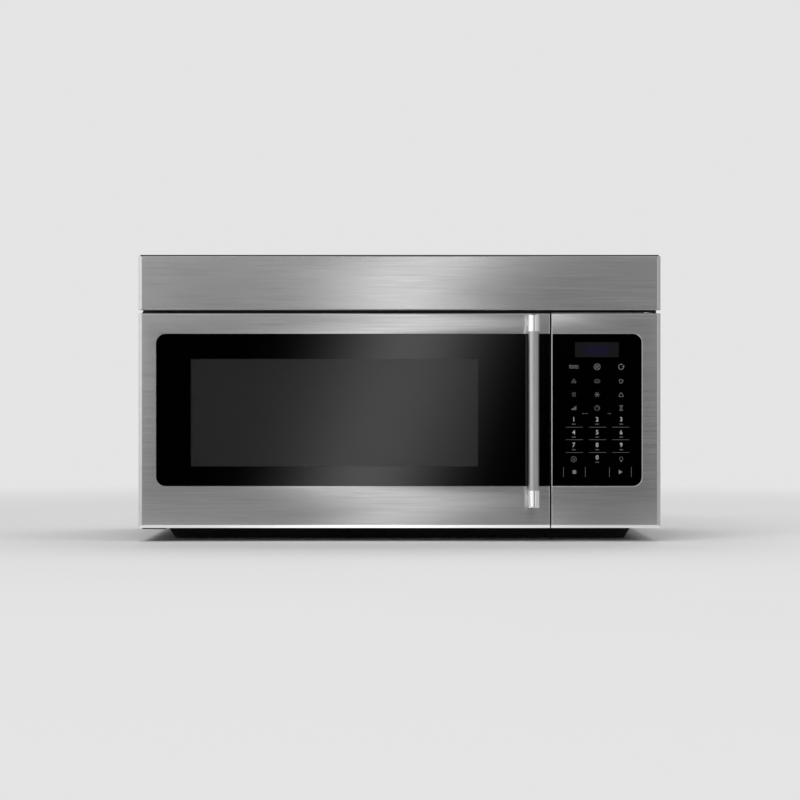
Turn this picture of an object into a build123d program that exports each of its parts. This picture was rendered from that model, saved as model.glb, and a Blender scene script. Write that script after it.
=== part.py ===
from build123d import *
import math
import os

# Over the range microwave with convection, hood blower and turntable.
#
# Millimetres. The origin is the bottom centre of the rear face, which hangs on the wall:
# +X is to the right seen from the front, -Y is forwards and +Z is up. Sizes called depth
# are distances in front of the wall, so a piece at depth d lies at y = -d.

# ---------------------------------------------------------------- overall sizes
fascia_width = 759.0
case_set_in = 2.5
wall_to_face = 394.0
sheet = 1.2
skin = 1.6
plastic = 2.2
seat_gap = 0.3

# ---------------------------------------------------------------- lines of the front
pan_drop = 20.0
door_height = 311.7
vent_gap = 4.7
fascia_height = 78.5
case_above_fascia = 1.4
grille_step = 1.2
panel_width = 159.4
split_gap = 1.7
door_thickness = 43.5
door_clearance = 0.5
skin_return = 28.0
corner_radius = 6.0
edge_radius = 1.5
bottom_bevel = 4.7

half_width = fascia_width / 2
case_width = fascia_width - 2 * case_set_in
case_bottom = pan_drop
door_top = case_bottom + door_height
fascia_bottom = door_top + vent_gap
fascia_top = fascia_bottom + fascia_height
case_top = fascia_top + case_above_fascia
unit_height = case_top + grille_step
panel_left = half_width - panel_width
door_right = panel_left - split_gap
door_back = wall_to_face - door_thickness
plate_face = door_back - door_clearance
plate_back = plate_face - sheet
inner_half = case_width / 2 - sheet
inner_top = case_top - sheet

# ---------------------------------------------------------------- black glass of the front
glass_below_top = 29.6
glass_above_bottom = 60.8
glass_recess = 0.4
glass_fit = 0.15
door_glass_thickness = 3.8
door_glass_left_margin = 26.0
door_glass_radius = 14.0
touch_glass_thickness = 3.0
touch_glass_right_margin = 27.9
touch_glass_radius = 13.0

glass_top = door_top - glass_below_top
glass_bottom = case_bottom + glass_above_bottom
glass_face = wall_to_face - glass_recess
door_glass_back = glass_face - door_glass_thickness
touch_glass_back = glass_face - touch_glass_thickness
door_glass_left = -half_width + door_glass_left_margin
touch_glass_left = panel_left + skin
touch_glass_right = half_width - touch_glass_right_margin

# ---------------------------------------------------------------- oven cavity
cavity_left_margin = 39.5
cavity_right_margin = 48.4
cavity_below_door_top = 31.7
cavity_above_base = 50.0
cavity_rear_gap = 30.0
recess_radius = 125.0
recess_depth = 4.0
turntable_offset = 0.6
convection_radius = 74.0
convection_depth = 228.0
window_left_margin = 76.5
window_right_margin = 104.6
window_top_margin = 66.2
window_bottom_margin = 89.5

cavity_left = -half_width + cavity_left_margin
cavity_right = door_right - cavity_right_margin
cavity_x = (cavity_left + cavity_right) / 2
cavity_floor_z = case_bottom + cavity_above_base
cavity_top = door_top - cavity_below_door_top
cavity_back = cavity_rear_gap
cavity_depth = plate_back - cavity_back
bay_left = cavity_right + sheet
recess_top = cavity_floor_z - recess_depth
turntable_depth = cavity_back + cavity_depth / 2 + turntable_offset

# ---------------------------------------------------------------- openings of the front plate
bay_margin = 6.0
bay_window_rise = 24.0
bay_window_top_margin = 18.0
vent_window_margin = 45.8
vent_window_rise = 9.6
vent_window_height = 58.0

# ---------------------------------------------------------------- hinges and latch
hinge_set_in = 10.8
hinge_stand_off = 18.0
hinge_plate = 2.0
hinge_width = 34.0
hinge_overhang = 6.8
hinge_leg = 15.0
hinge_pin_radius = 3.0
hinge_pin_length = 14.0
hinge_bore_gap = 0.05
hinge_top_gap = 0.9
hinge_bottom_gap = 0.6
hinge_tongue = 30.0
hinge_joggle = 2.0
latch_set_in = 16.4
latch_width = 7.0
latch_bar_depth = 11.0
latch_bottom_margin = 58.0
latch_top_margin = 39.7
latch_travel = 5.0
hook_reach = 24.0
hook_height = 12.0
hook_nose = 4.0
hook_heel = 10.0
hook_inset = 8.0
latch_slot_width = 14.0
latch_slot_side = 2.0
latch_clearance = 0.6
spring_length = 16.0
spring_radius = 3.2
spring_wall = 1.0
spring_sides = 8
guide_height = 20.0
guide_low = 40.0
guide_high = 60.0
latch_board_gap = 2.5
latch_board_thickness = 2.5
latch_board_rise = 6.0
latch_board_reach = 30.0
catch_height = 5.0
switch_height = 16.0
switch_width = 10.3
switch_drop = 3.0
switch_spacing = 24.0
switch_gap = 4.0
choke_width = 21.0
choke_depth = 12.7
cover_thickness = 2.0
cover_rim = 8.0
screen_thickness = 0.8
screen_overlap = 8.0
inner_glass_thickness = 3.0

hinge_x = -half_width + hinge_set_in
hinge_depth = plate_face + hinge_stand_off
latch_x = door_right - latch_set_in
latch_bottom = case_bottom + latch_bottom_margin
latch_top = door_top - latch_top_margin

# ---------------------------------------------------------------- handle
handle_set_in = 25.8
handle_bar_diameter = 15.4
handle_cap_diameter = 17.0
handle_cap_height = 24.6
handle_bottom_margin = 31.3
handle_top_margin = 2.7
handle_reach = 46.0
handle_post_diameter = 14.0
handle_tenon_diameter = 12.0
handle_tenon_length = 8.0
handle_screw_radius = 2.5
handle_screw_length = 18.0
handle_screw_head_radius = 4.5
handle_screw_head = 3.0
handle_screw_gap = 4.0

handle_x = door_right - handle_set_in
handle_bottom = case_bottom + handle_bottom_margin
handle_top = door_top - handle_top_margin
handle_low_z = handle_bottom + handle_cap_height / 2
handle_high_z = handle_top - handle_cap_height / 2

# ---------------------------------------------------------------- turntable drive
tray_radius = 152.5
tray_thickness = 5.0
tray_rim = 7.0
tray_rim_width = 12.0
tray_lug = 8.0
tray_lug_radius = 19.0
tray_lug_depth = 5.0
tray_lip = 3.0
axle_root = 1.0
axle_sides = 8
roller_radius = 8.5
roller_width = 8.0
roller_track_radius = 102.0
roller_count = 3
roller_axle_radius = 1.5
running_gap = 0.05
ring_inner_radius = 88.0
ring_outer_radius = 96.0
ring_height = 6.0
coupler_hub_radius = 11.0
coupler_arm_length = 24.0
coupler_arm_width = 9.0
coupler_height = 13.0
shaft_radius = 3.5
motor_radius = 24.5
motor_height = 16.0
motor_ear = 8.0
motor_drop = 2.0

roller_z = recess_top + seat_gap + roller_radius
tray_bottom = roller_z + roller_radius + seat_gap

# ---------------------------------------------------------------- convection heater and fan
housing_height = 42.0
housing_sides = 8
heater_radius = 60.0
heater_rod = 6.5
heater_sides = 16
heater_rise = 22.0
convection_fan_radius = 48.0
heater_clip = (4.0, 6.0)
cover_margin = 8.0
cover_slot = (22.0, 5.0)
cover_slots_inner = (34.5, 6)
cover_slots_outer = (61.5, 9)
oven_fan_sides = 24
oven_fan_blades = 8
oven_blade_middle = 31.7
oven_blade_length = 28.8
fan_blade_height = 20.0
fan_plate_rise = 32.0
fan_collar_height = 8.0
fan_collar_wall = 3.0
convection_shaft_radius = 3.0
oven_motor_size = 62.0
oven_motor_corner = 12.0
oven_motor_height = 34.0
oven_motor_bore = 20.0
shaft_end_gap = 4.8

heater_z = cavity_top + heater_rise
fan_plate_z = cavity_top + fan_plate_rise

# ---------------------------------------------------------------- waveguide and cavity lamp
waveguide_depth = (140.0, 250.0)
waveguide_below_roof = 20.0
waveguide_height = 90.0
waveguide_rise = 40.0
port_margin = 12.0
mica_margin = 4.0
mica_thickness = 0.8
lamp_window_depth = (282.0, 322.0)
lamp_window_height = 34.0
lamp_margin = 5.0
lamp_case = 22.0
lamp_holder_gap = 8.0
lamp_holder_margin = (12.0, 9.0)

waveguide_top = cavity_top - waveguide_below_roof
waveguide_z = (waveguide_top - waveguide_height, waveguide_top)
lamp_window_z = (waveguide_top - lamp_window_height, waveguide_top)
waveguide_middle = (waveguide_z[0] + waveguide_z[1]) / 2

# ---------------------------------------------------------------- magnetron and cooling
bay_floor_rise = 6.2
bay_flange = 10.0
antenna_radius = 8.0
antenna_length = 28.0
magnetron_length = 74.0
magnetron_height = 72.0
magnetron_margin = (12.0, 8.0)
magnetron_cap = 20.0
yoke_base = 4.0
yoke_wall = 3.0
fin_count = 5
fin_pitch = 8.8
fin_thickness = 1.0
tube_radius = 20.0
tube_sides = 12
transformer_place = 86.3
transformer_depth = 227.5
transformer_core = (85.0, 85.0, 62.0)
transformer_winding = (67.0, 113.0, 54.0)
transformer_foot = 10.0
foot_thickness = 2.0
capacitor_place = 78.8
capacitor_depth = 110.0
capacitor_size = (78.0, 34.0, 92.0)
terminal_size = (6.0, 3.0, 10.0)
terminal_pitch = 22.0
noise_board_size = (76.0, 74.0)
noise_board_side_gap = 9.8
noise_board_top_gap = 23.1
noise_board_stand_off = 8.0
stand_off_width = 6.0
filter_coil = (22.0, 20.4, 26.0)
filter_capacitor = (22.0, 16.4, 28.0)
board_part_margin = 10.0
board_thickness = 1.6
cooling_place = 90.8
cooling_radius = 50.0
shroud_half = 60.0
shroud_length = 42.0
shroud_hole_gap = 3.0
fan_motor_size = (56.0, 46.0)
fan_motor_length = 20.0
fan_motor_bore = 14.0
fan_strap = 16.0
fan_strap_thickness = 2.0
fan_hub_radius = 14.0
fan_hub_length = 14.0
fan_hub_start = 24.0
fan_blades = 5
fan_blade_width = 26.0
fan_blade_thickness = 1.5
fan_blade_root = 12.0
fan_blade_slope = 0.5

bay_floor_z = cavity_floor_z + bay_floor_rise
antenna_z = waveguide_middle
transformer_x = bay_left + transformer_place
capacitor_x = bay_left + capacitor_place
cooling_x = bay_left + cooling_place
cooling_z = antenna_z
noise_board_right = inner_half - noise_board_side_gap
noise_board_top = inner_top - noise_board_top_gap
noise_board_x = (noise_board_right - noise_board_size[0], noise_board_right)
noise_board_z = (noise_board_top - noise_board_size[1], noise_board_top)

# ---------------------------------------------------------------- vent grille and control panel
fascia_return = 16.0
slot_end_margin = 12.0
slot_pitch = 22.8
slot_width = 16.4
slot_length = 20.0
charcoal_length = 500.0
charcoal_height = 62.0
charcoal_thickness = 20.0
charcoal_stand_off = 6.0
charcoal_frame = 6.0
charcoal_inset = 2.0
display_place = 66.3
display_below_glass_top = 23.15
display_width = 63.6
display_height = 21.9
display_thickness = 14.0
board_left_margin = 11.9
board_right_margin = 34.5
board_bottom_margin = 40.0
board_top_margin = 26.7
panel_screw_inset = 19.8
panel_screw_behind_face = 18.0
panel_screw_radius = 1.5
panel_screw_head = 1.6
bracket_margin = 8.0
board_boss = 8.0
display_margin = 3.0
relay_sizes = (26.0, 20.0, 16.0)
relay_places = ((36.0, 53.0), (68.0, 60.0), (76.0, 148.0))
relay_flatness = 0.7

display_x = panel_left + display_place
display_z = glass_top - display_below_glass_top
board_low = (panel_left + board_left_margin, case_bottom + board_bottom_margin)
board_high = (half_width - board_right_margin, door_top - board_top_margin)
panel_screw_x = half_width - panel_screw_inset
panel_screw_depth = wall_to_face - panel_screw_behind_face

# ---------------------------------------------------------------- hood blower
exhaust_width = 254.0
exhaust_length = 82.0
exhaust_depth = 46.0
scroll_width = 100.0
scroll_radius = 53.0
scroll_below_top = 56.6
scroll_wall = 1.2
inlet_radius = 31.0
shaft_hole_radius = 12.0
wheel_radius = 38.0
wheel_width = 84.0
wheel_ring = 5.0
wheel_blades = 20
wheel_ring_width = 3.0
wheel_disc = 2.0
blower_shaft_inset = 6.0
blade_length = 7.0
blade_thickness = 0.9
blade_angle = 35.0
blower_shaft_radius = 4.0
blower_motor_radius = 27.0
motor_ear_reach = 8.0
motor_ear_height = 12.0
wheel_hub_radius = 9.0
wheel_hub_sides = 12
blade_bite = 1.0

scroll_depth = exhaust_depth + exhaust_length - scroll_radius
scroll_z = inner_top - scroll_below_top

# ---------------------------------------------------------------- hood pan and filters
pan_side_margin = 43.5
pan_slope_x = 11.0
pan_front_margin = 112.0
pan_slope_y = 14.0
filter_side_margin = 41.0
filter_width = 160.0
filter_opening_width = 162.0
filter_opening_back = 40.0
filter_opening_length = 210.0
filter_front_lip = 6.0
filter_back_lip = 8.0
filter_height = 8.5
filter_frame = 9.0
filter_mesh_inset = 1.2
filter_tab = 30.0
filter_tab_drop = 0.9
air_window_margin = 12.0

pan_half_width = half_width - pan_side_margin
pan_front = wall_to_face - pan_front_margin
filter_x = pan_half_width - filter_side_margin - filter_width / 2

# ---------------------------------------------------------------- cooktop lamp
lens_width = 116.0
lens_length = 62.0
lens_lip = 5.0
lens_thickness = 3.0
lens_depth = 236.0
lamp_board = (80.0, 28.0)
lamp_chip = 7.0
lamp_chip_height = 1.2
lamp_chip_pitch = 26.0
lamp_count = 3

# ---------------------------------------------------------------- mounts of the case
bolt_spacing = 457.2
bolt_depth = 255.0
bolt_hole_radius = 3.5
nut_plate = (52.0, 32.0)
nut_plate_thickness = 3.0
hook_slot = (32.0, 10.0)
hook_slot_spacing = 190.0
hook_slot_z = 40.0
cord_side_gap = 75.8
cord_depth = 60.0
cord_hole_radius = 12.0
bushing_bore_radius = 8.0
bushing_flange = 3.0
bushing_flange_side = 30.0

cord_x = inner_half - cord_side_gap


def block(x, depth, z, mode=Mode.ADD):
    """Box between limits along X, away from the wall and in height."""
    with Locations(((x[0] + x[1]) / 2, -(depth[0] + depth[1]) / 2, (z[0] + z[1]) / 2)):
        Box(x[1] - x[0], depth[1] - depth[0], z[1] - z[0], mode=mode)


def rectangle_between(low, high, mode=Mode.ADD):
    """Rectangle between two corners of the sketch."""
    with Locations(((low[0] + high[0]) / 2, (low[1] + high[1]) / 2)):
        Rectangle(high[0] - low[0], high[1] - low[1], mode=mode)


def facing(depth):
    """Upright plane at a depth, with X to the right and Z up; extrusions go forwards."""
    return Plane.XZ.offset(depth)


def folded_skin(x, z, depth, left_radius, right_radius, bevel):
    """Front panel of stainless sheet, folded back on four sides and open at the rear."""
    with BuildPart() as panel:
        with BuildSketch(Plane.XY.offset(z[0])):
            rectangle_between((x[0], -depth[1]), (x[1], -depth[0]))
            fillet(vertices().group_by(Axis.Y)[0].sort_by(Axis.X)[0], left_radius)
            fillet(vertices().group_by(Axis.Y)[0].sort_by(Axis.X)[-1], right_radius)
        extrude(amount=z[1] - z[0])
        with BuildSketch(Plane.YZ.offset(x[0])):
            rectangle_between((-depth[1], z[0]), (-depth[0], z[1]))
            chamfer(vertices().group_by(Axis.X)[0].sort_by(Axis.Y)[0], bevel)
            fillet(vertices().group_by(Axis.X)[0].sort_by(Axis.Y)[-1], edge_radius)
        extrude(amount=x[1] - x[0], mode=Mode.INTERSECT)
        offset(amount=-skin, openings=faces().sort_by(Axis.Y)[-1])
    return panel.part


def door_block(x, depth, z, rear_radius, front_chamfer, bevel):
    """Block with the door's edges: rounded at the rear beside the hinge, cut off in front."""
    with BuildPart() as body:
        block(x, depth, z)
        fillet(edges().filter_by(Axis.Z).group_by(Axis.Y)[-1].sort_by(Axis.X)[0], rear_radius)
        chamfer(edges().filter_by(Axis.Z).group_by(Axis.Y)[0].sort_by(Axis.X)[0], front_chamfer)
        chamfer(edges().filter_by(Axis.X).group_by(Axis.Y)[0].sort_by(Axis.Z)[0], bevel)
    return body.part


# ================================================================ case
# Rear panel: the flat that hangs on the wall, with the slots for the wall plate's hooks.
with BuildPart() as rear_panel:
    with BuildSketch(facing(0)):
        rectangle_between((-inner_half, case_bottom), (inner_half, inner_top))
        rectangle_between((-pan_half_width, 0), (pan_half_width, case_bottom))
        with Locations((0, hook_slot_z)):
            with GridLocations(hook_slot_spacing, 0, 4, 1):
                Rectangle(*hook_slot, mode=Mode.SUBTRACT)
    extrude(amount=sheet)

# Outer case: one sheet folded over the top and both sides, with two welded nut plates that
# take the bolts from the cabinet above.
with BuildPart() as outer_case:
    with BuildSketch(facing(0)):
        rectangle_between((-case_width / 2, case_bottom), (case_width / 2, case_top))
        fillet(vertices().group_by(Axis.Y)[-1], 2 * sheet)
        rectangle_between((-inner_half, case_bottom), (inner_half, inner_top), mode=Mode.SUBTRACT)
    extrude(amount=plate_face)
    with BuildSketch(Plane.XY.offset(inner_top - nut_plate_thickness)):
        with Locations((-bolt_spacing / 2, -bolt_depth), (bolt_spacing / 2, -bolt_depth)):
            Rectangle(*nut_plate)
    extrude(amount=nut_plate_thickness)
    with BuildSketch(Plane.XY.offset(case_top)):
        rectangle_between(
            (-exhaust_width / 2, -exhaust_depth - exhaust_length),
            (exhaust_width / 2, -exhaust_depth),
        )
        with Locations((-bolt_spacing / 2, -bolt_depth), (bolt_spacing / 2, -bolt_depth)):
            Circle(bolt_hole_radius)
        with Locations((cord_x, -cord_depth)):
            Circle(cord_hole_radius)
    extrude(amount=-2 * sheet - nut_plate_thickness, mode=Mode.SUBTRACT)

# Bushing of the supply lead's hole.
with BuildPart() as cord_bushing:
    with BuildSketch(Plane.XY.offset(inner_top - bushing_flange)):
        with Locations((cord_x, -cord_depth)):
            Circle(cord_hole_radius - running_gap)
    extrude(amount=bushing_flange + 2 * sheet)
    with BuildSketch(Plane.XY.offset(inner_top - bushing_flange)):
        with Locations((cord_x, -cord_depth)):
            Rectangle(bushing_flange_side, bushing_flange_side)
    extrude(amount=bushing_flange)
    with BuildSketch(Plane.XY.offset(inner_top - bushing_flange)):
        with Locations((cord_x, -cord_depth)):
            Circle(bushing_bore_radius)
    extrude(amount=2 * bushing_flange + 2 * sheet, mode=Mode.SUBTRACT)

# Base plate: closes the case below, with a window over each grease filter.
air_window_x = filter_width - 2 * air_window_margin
with BuildPart() as base_plate:
    with BuildSketch(Plane.XY.offset(case_bottom)):
        rectangle_between((-inner_half, -plate_back), (inner_half, -sheet))
        for side in (-1, 1):
            with Locations((side * filter_x, -filter_opening_back - filter_opening_length / 2)):
                Rectangle(air_window_x, filter_opening_length - 2 * air_window_margin, mode=Mode.SUBTRACT)
    extrude(amount=sheet)

# Hood pan: the sloped black tray under the case that holds filters and cooktop lamp.
with BuildPart() as hood_pan:
    for z, lean in ((0, 0), (pan_drop, 1)):
        with BuildSketch(Plane.XY.offset(z)):
            half = pan_half_width + lean * pan_slope_x
            rectangle_between((-half, -pan_front - lean * pan_slope_y), (half, -sheet))
    loft(ruled=True)
    offset(amount=-sheet, openings=faces().sort_by(Axis.Z)[-1])
    with BuildSketch(Plane.XY):
        for side in (-1, 1):
            with Locations((side * filter_x, -filter_opening_back - filter_opening_length / 2)):
                Rectangle(filter_opening_width, filter_opening_length)
        with Locations((0, -lens_depth)):
            Rectangle(lens_width - 2 * lens_lip, lens_length - 2 * lens_lip)
    extrude(amount=sheet, mode=Mode.SUBTRACT)

# ================================================================ hood underside
filter_back = filter_opening_back - filter_back_lip
filter_front = filter_opening_back + filter_opening_length + filter_front_lip
filter_bottom = sheet + seat_gap


def grease_filter(side):
    """Grease filter: a frame round a mesh pad, with a pull tab under its front."""
    x = (side * filter_x - filter_width / 2, side * filter_x + filter_width / 2)
    z = (filter_bottom, filter_bottom + filter_height)
    inner_x = (x[0] + filter_frame, x[1] - filter_frame)
    inner_depth = (filter_back + filter_frame, filter_front - filter_frame)
    tab_front = filter_front - 2 * filter_front_lip
    with BuildPart() as grease_pad:
        block(x, (filter_back, filter_front), z)
        block(inner_x, inner_depth, (z[0], z[0] + filter_mesh_inset), mode=Mode.SUBTRACT)
        block(inner_x, inner_depth, (z[1] - filter_mesh_inset, z[1]), mode=Mode.SUBTRACT)
        block(
            (side * filter_x - filter_tab / 2, side * filter_x + filter_tab / 2),
            (tab_front - filter_tab / 2, tab_front),
            (sheet - filter_tab_drop, z[0] + filter_mesh_inset),
        )
    return grease_pad


grease_filter_left = grease_filter(-1)
grease_filter_right = grease_filter(1)

with BuildPart() as cooktop_lamp_lens:
    block(
        (-lens_width / 2, lens_width / 2),
        (lens_depth - lens_length / 2, lens_depth + lens_length / 2),
        (sheet, sheet + lens_thickness),
    )

# Cooktop lamp: reflector box over the lens, with the row of lamps in its roof.
lamp_base = sheet + lens_thickness
lamp_roof = case_bottom - sheet
with BuildPart() as cooktop_lamp:
    block(
        (-lens_width / 2, lens_width / 2),
        (lens_depth - lens_length / 2, lens_depth + lens_length / 2),
        (lamp_base, case_bottom),
    )
    offset(amount=-sheet, openings=faces().sort_by(Axis.Z)[0])
    with BuildSketch(Plane.XY.offset(lamp_roof)):
        with Locations((0, -lens_depth)):
            Rectangle(*lamp_board)
    extrude(amount=-board_thickness)
    with BuildSketch(Plane.XY.offset(lamp_roof - board_thickness)):
        with Locations((0, -lens_depth)):
            with GridLocations(lamp_chip_pitch, 0, lamp_count, 1):
                Rectangle(lamp_chip, lamp_chip)
    extrude(amount=-lamp_chip_height)

# ================================================================ front plate and cavity
with BuildPart() as front_plate:
    with BuildSketch(facing(plate_back)):
        rectangle_between((-inner_half, case_bottom), (inner_half, inner_top))
        rectangle_between(
            (cavity_left, cavity_floor_z), (cavity_right, cavity_top), mode=Mode.SUBTRACT
        )
        rectangle_between(
            (panel_left + bay_margin, case_bottom + bay_window_rise),
            (inner_half - bay_margin, door_top - bay_window_top_margin),
            mode=Mode.SUBTRACT,
        )
        rectangle_between(
            (-inner_half + vent_window_margin, fascia_bottom + vent_window_rise),
            (inner_half - vent_window_margin, fascia_bottom + vent_window_rise + vent_window_height),
            mode=Mode.SUBTRACT,
        )
        for hook_z in (latch_bottom + hook_inset, latch_top - hook_inset - hook_height):
            low = hook_z - hook_nose - 3 * latch_clearance
            high = hook_z + hook_height + latch_travel + 3 * latch_clearance
            rectangle_between(
                (latch_x - latch_slot_width / 2, low),
                (latch_x + latch_slot_width / 2 + latch_slot_side, high),
                mode=Mode.SUBTRACT,
            )
    extrude(amount=sheet)

wall_x = (cavity_left - sheet, cavity_right + sheet)
with BuildPart() as cavity_floor:
    block(wall_x, (cavity_back - sheet, plate_back), (cavity_floor_z - sheet, cavity_floor_z))
    with BuildSketch(Plane.XY.offset(cavity_floor_z)):
        with Locations((cavity_x, -turntable_depth)):
            Circle(recess_radius)
    extrude(amount=-recess_depth - sheet, mode=Mode.SUBTRACT)
    with BuildSketch(Plane.XY.offset(recess_top - sheet)):
        with Locations((cavity_x, -turntable_depth)):
            Circle(recess_radius + sheet)
            Circle(recess_radius, mode=Mode.SUBTRACT)
    extrude(amount=recess_depth + sheet)
    with BuildSketch(Plane.XY.offset(recess_top - sheet)):
        with Locations((cavity_x, -turntable_depth)):
            Circle(recess_radius)
            Circle(2 * shaft_radius, mode=Mode.SUBTRACT)
    extrude(amount=sheet)

through_wall = (cavity_right - sheet, cavity_right + 2 * sheet)
# Cavity shell: roof, sides and back of the oven, welded into one.
with BuildPart() as cavity_shell:
    block(wall_x, (cavity_back - sheet, plate_back), (cavity_floor_z, cavity_top + sheet))
    block(
        (cavity_left, cavity_right),
        (cavity_back, plate_back),
        (cavity_floor_z, cavity_top),
        mode=Mode.SUBTRACT,
    )
    with Locations((cavity_x, -convection_depth, cavity_top)):
        Cylinder(convection_radius, 4 * sheet, mode=Mode.SUBTRACT)
    block(
        through_wall,
        (waveguide_depth[0] + port_margin, waveguide_depth[1] - port_margin),
        (waveguide_z[0] + port_margin, waveguide_z[1] - port_margin),
        mode=Mode.SUBTRACT,
    )
    block(
        through_wall,
        (lamp_window_depth[0] + lamp_margin, lamp_window_depth[1] - lamp_margin),
        (lamp_window_z[0] + lamp_margin, lamp_window_z[1] - lamp_margin),
        mode=Mode.SUBTRACT,
    )

with BuildPart() as waveguide_cover:
    block(
        (cavity_right - mica_thickness, cavity_right),
        (waveguide_depth[0] + mica_margin, waveguide_depth[1] - mica_margin),
        (waveguide_z[0] + mica_margin, waveguide_z[1] - mica_margin),
    )

with BuildPart() as cavity_lamp:
    lamp_x = cavity_right + sheet
    block((lamp_x, lamp_x + lamp_case), lamp_window_depth, lamp_window_z)
    offset(amount=-sheet, openings=faces().sort_by(Axis.X)[0])
    block(
        (lamp_x + lamp_holder_gap, lamp_x + lamp_case - sheet),
        (lamp_window_depth[0] + lamp_holder_margin[0], lamp_window_depth[1] - lamp_holder_margin[0]),
        (lamp_window_z[0] + lamp_holder_margin[1], lamp_window_z[1] - lamp_holder_margin[1]),
    )

# ================================================================ convection heater and fan
cover_radius = convection_radius + cover_margin
with BuildPart() as convection_cover:
    with BuildSketch(Plane.XY.offset(cavity_top - sheet)):
        with Locations((cavity_x, -convection_depth)):
            Circle(cover_radius)
            with PolarLocations(*cover_slots_inner):
                Rectangle(*cover_slot, mode=Mode.SUBTRACT)
            with PolarLocations(*cover_slots_outer):
                Rectangle(*cover_slot, mode=Mode.SUBTRACT)
    extrude(amount=sheet)

convection_base = cavity_top + sheet
convection_roof = convection_base + housing_height - sheet
heater_top = heater_z + heater_rod / 2
with BuildPart() as convection_housing:
    with BuildSketch(Plane.XY.offset(convection_base)):
        with Locations((cavity_x, -convection_depth)):
            RegularPolygon(convection_radius + sheet, housing_sides, major_radius=False)
    extrude(amount=housing_height)
    offset(amount=-sheet, openings=faces().sort_by(Axis.Z)[0])
    with Locations((cavity_x, -convection_depth, convection_roof + sheet)):
        Hole(2 * convection_shaft_radius)
    with BuildSketch(Plane.XY.offset(heater_top)):
        with Locations((cavity_x, -convection_depth)):
            with PolarLocations(heater_radius, 3, start_angle=90):
                Rectangle(*heater_clip)
    extrude(amount=convection_roof - heater_top)

with BuildPart() as convection_heater:
    with BuildSketch(Plane.XY.offset(heater_top - heater_rod)):
        with Locations((cavity_x, -convection_depth)):
            RegularPolygon(heater_radius + heater_rod / 2, heater_sides)
            RegularPolygon(heater_radius - heater_rod / 2, heater_sides, mode=Mode.SUBTRACT)
    extrude(amount=heater_rod)

with BuildPart() as convection_fan:
    with BuildSketch(Plane.XY.offset(fan_plate_z)):
        with Locations((cavity_x, -convection_depth)):
            RegularPolygon(convection_fan_radius, oven_fan_sides)
    extrude(amount=sheet)
    with BuildSketch(Plane.XY.offset(fan_plate_z - fan_blade_height)):
        with Locations((cavity_x, -convection_depth)):
            with PolarLocations(oven_blade_middle, oven_fan_blades):
                Rectangle(oven_blade_length, sheet)
    extrude(amount=fan_blade_height)
    with BuildSketch(Plane.XY.offset(fan_plate_z - fan_collar_height)):
        with Locations((cavity_x, -convection_depth)):
            Circle(convection_shaft_radius + fan_collar_wall)
    extrude(amount=fan_collar_height)
    with BuildSketch(Plane.XY.offset(fan_plate_z)):
        with Locations((cavity_x, -convection_depth)):
            Circle(convection_shaft_radius)
    extrude(amount=convection_roof + sheet + oven_motor_bore - shaft_end_gap - fan_plate_z)

with BuildPart() as convection_motor:
    with BuildSketch(Plane.XY.offset(convection_roof + sheet)):
        with Locations((cavity_x, -convection_depth)):
            RectangleRounded(oven_motor_size, oven_motor_size, oven_motor_corner)
    extrude(amount=oven_motor_height)
    with BuildSketch(Plane.XY.offset(convection_roof + sheet)):
        with Locations((cavity_x, -convection_depth)):
            Circle(convection_shaft_radius + running_gap)
    extrude(amount=oven_motor_bore, mode=Mode.SUBTRACT)

# ================================================================ turntable drive
axis_place = (cavity_x, -turntable_depth)
floor_under = recess_top - sheet
with BuildPart() as turntable_motor:
    with BuildSketch(Plane.XY.offset(floor_under - motor_height)):
        with Locations(axis_place):
            Circle(motor_radius)
    extrude(amount=motor_height - motor_drop)
    with BuildSketch(Plane.XY.offset(floor_under - motor_drop)):
        with Locations(axis_place):
            Rectangle(2 * (motor_radius + motor_ear), 2 * motor_ear)
            Circle(motor_ear)
    extrude(amount=motor_drop)
    with BuildSketch(Plane.XY.offset(floor_under)):
        with Locations(axis_place):
            Circle(shaft_radius + running_gap)
    extrude(amount=-motor_height + motor_drop, mode=Mode.SUBTRACT)

# Coupler: a shaft from the motor with a three-armed hub that turns the tray by its lugs.
coupler_base = tray_bottom - coupler_height
with BuildPart() as drive_coupler:
    with BuildSketch(Plane.XY.offset(coupler_base)):
        with Locations(axis_place):
            Circle(coupler_hub_radius)
            with PolarLocations(0.5 * coupler_arm_length, roller_count):
                Rectangle(coupler_arm_length, coupler_arm_width)
    extrude(amount=coupler_height)
    with BuildSketch(Plane.XY.offset(coupler_base)):
        with Locations(axis_place):
            Circle(shaft_radius)
    extrude(amount=floor_under - motor_height + 2 * motor_drop - coupler_base)

rim_x = cavity_x + tray_radius
flat_x = rim_x - tray_rim_width
with BuildPart() as turntable_tray:
    with BuildSketch(facing(turntable_depth)):
        with BuildLine():
            Polyline(
                (cavity_x, tray_bottom),
                (flat_x, tray_bottom),
                (rim_x, tray_bottom + tray_rim),
                (rim_x, tray_bottom + tray_rim + tray_lip),
                (flat_x, tray_bottom + tray_thickness),
                (cavity_x, tray_bottom + tray_thickness),
                close=True,
            )
        make_face()
    revolve(axis=Axis((cavity_x, -turntable_depth, 0), (0, 0, 1)))
    with BuildSketch(Plane.XY.offset(tray_bottom)):
        with Locations(axis_place):
            with PolarLocations(tray_lug_radius, roller_count, start_angle=180 / roller_count):
                Rectangle(tray_lug, tray_lug)
    extrude(amount=-tray_lug_depth)

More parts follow.
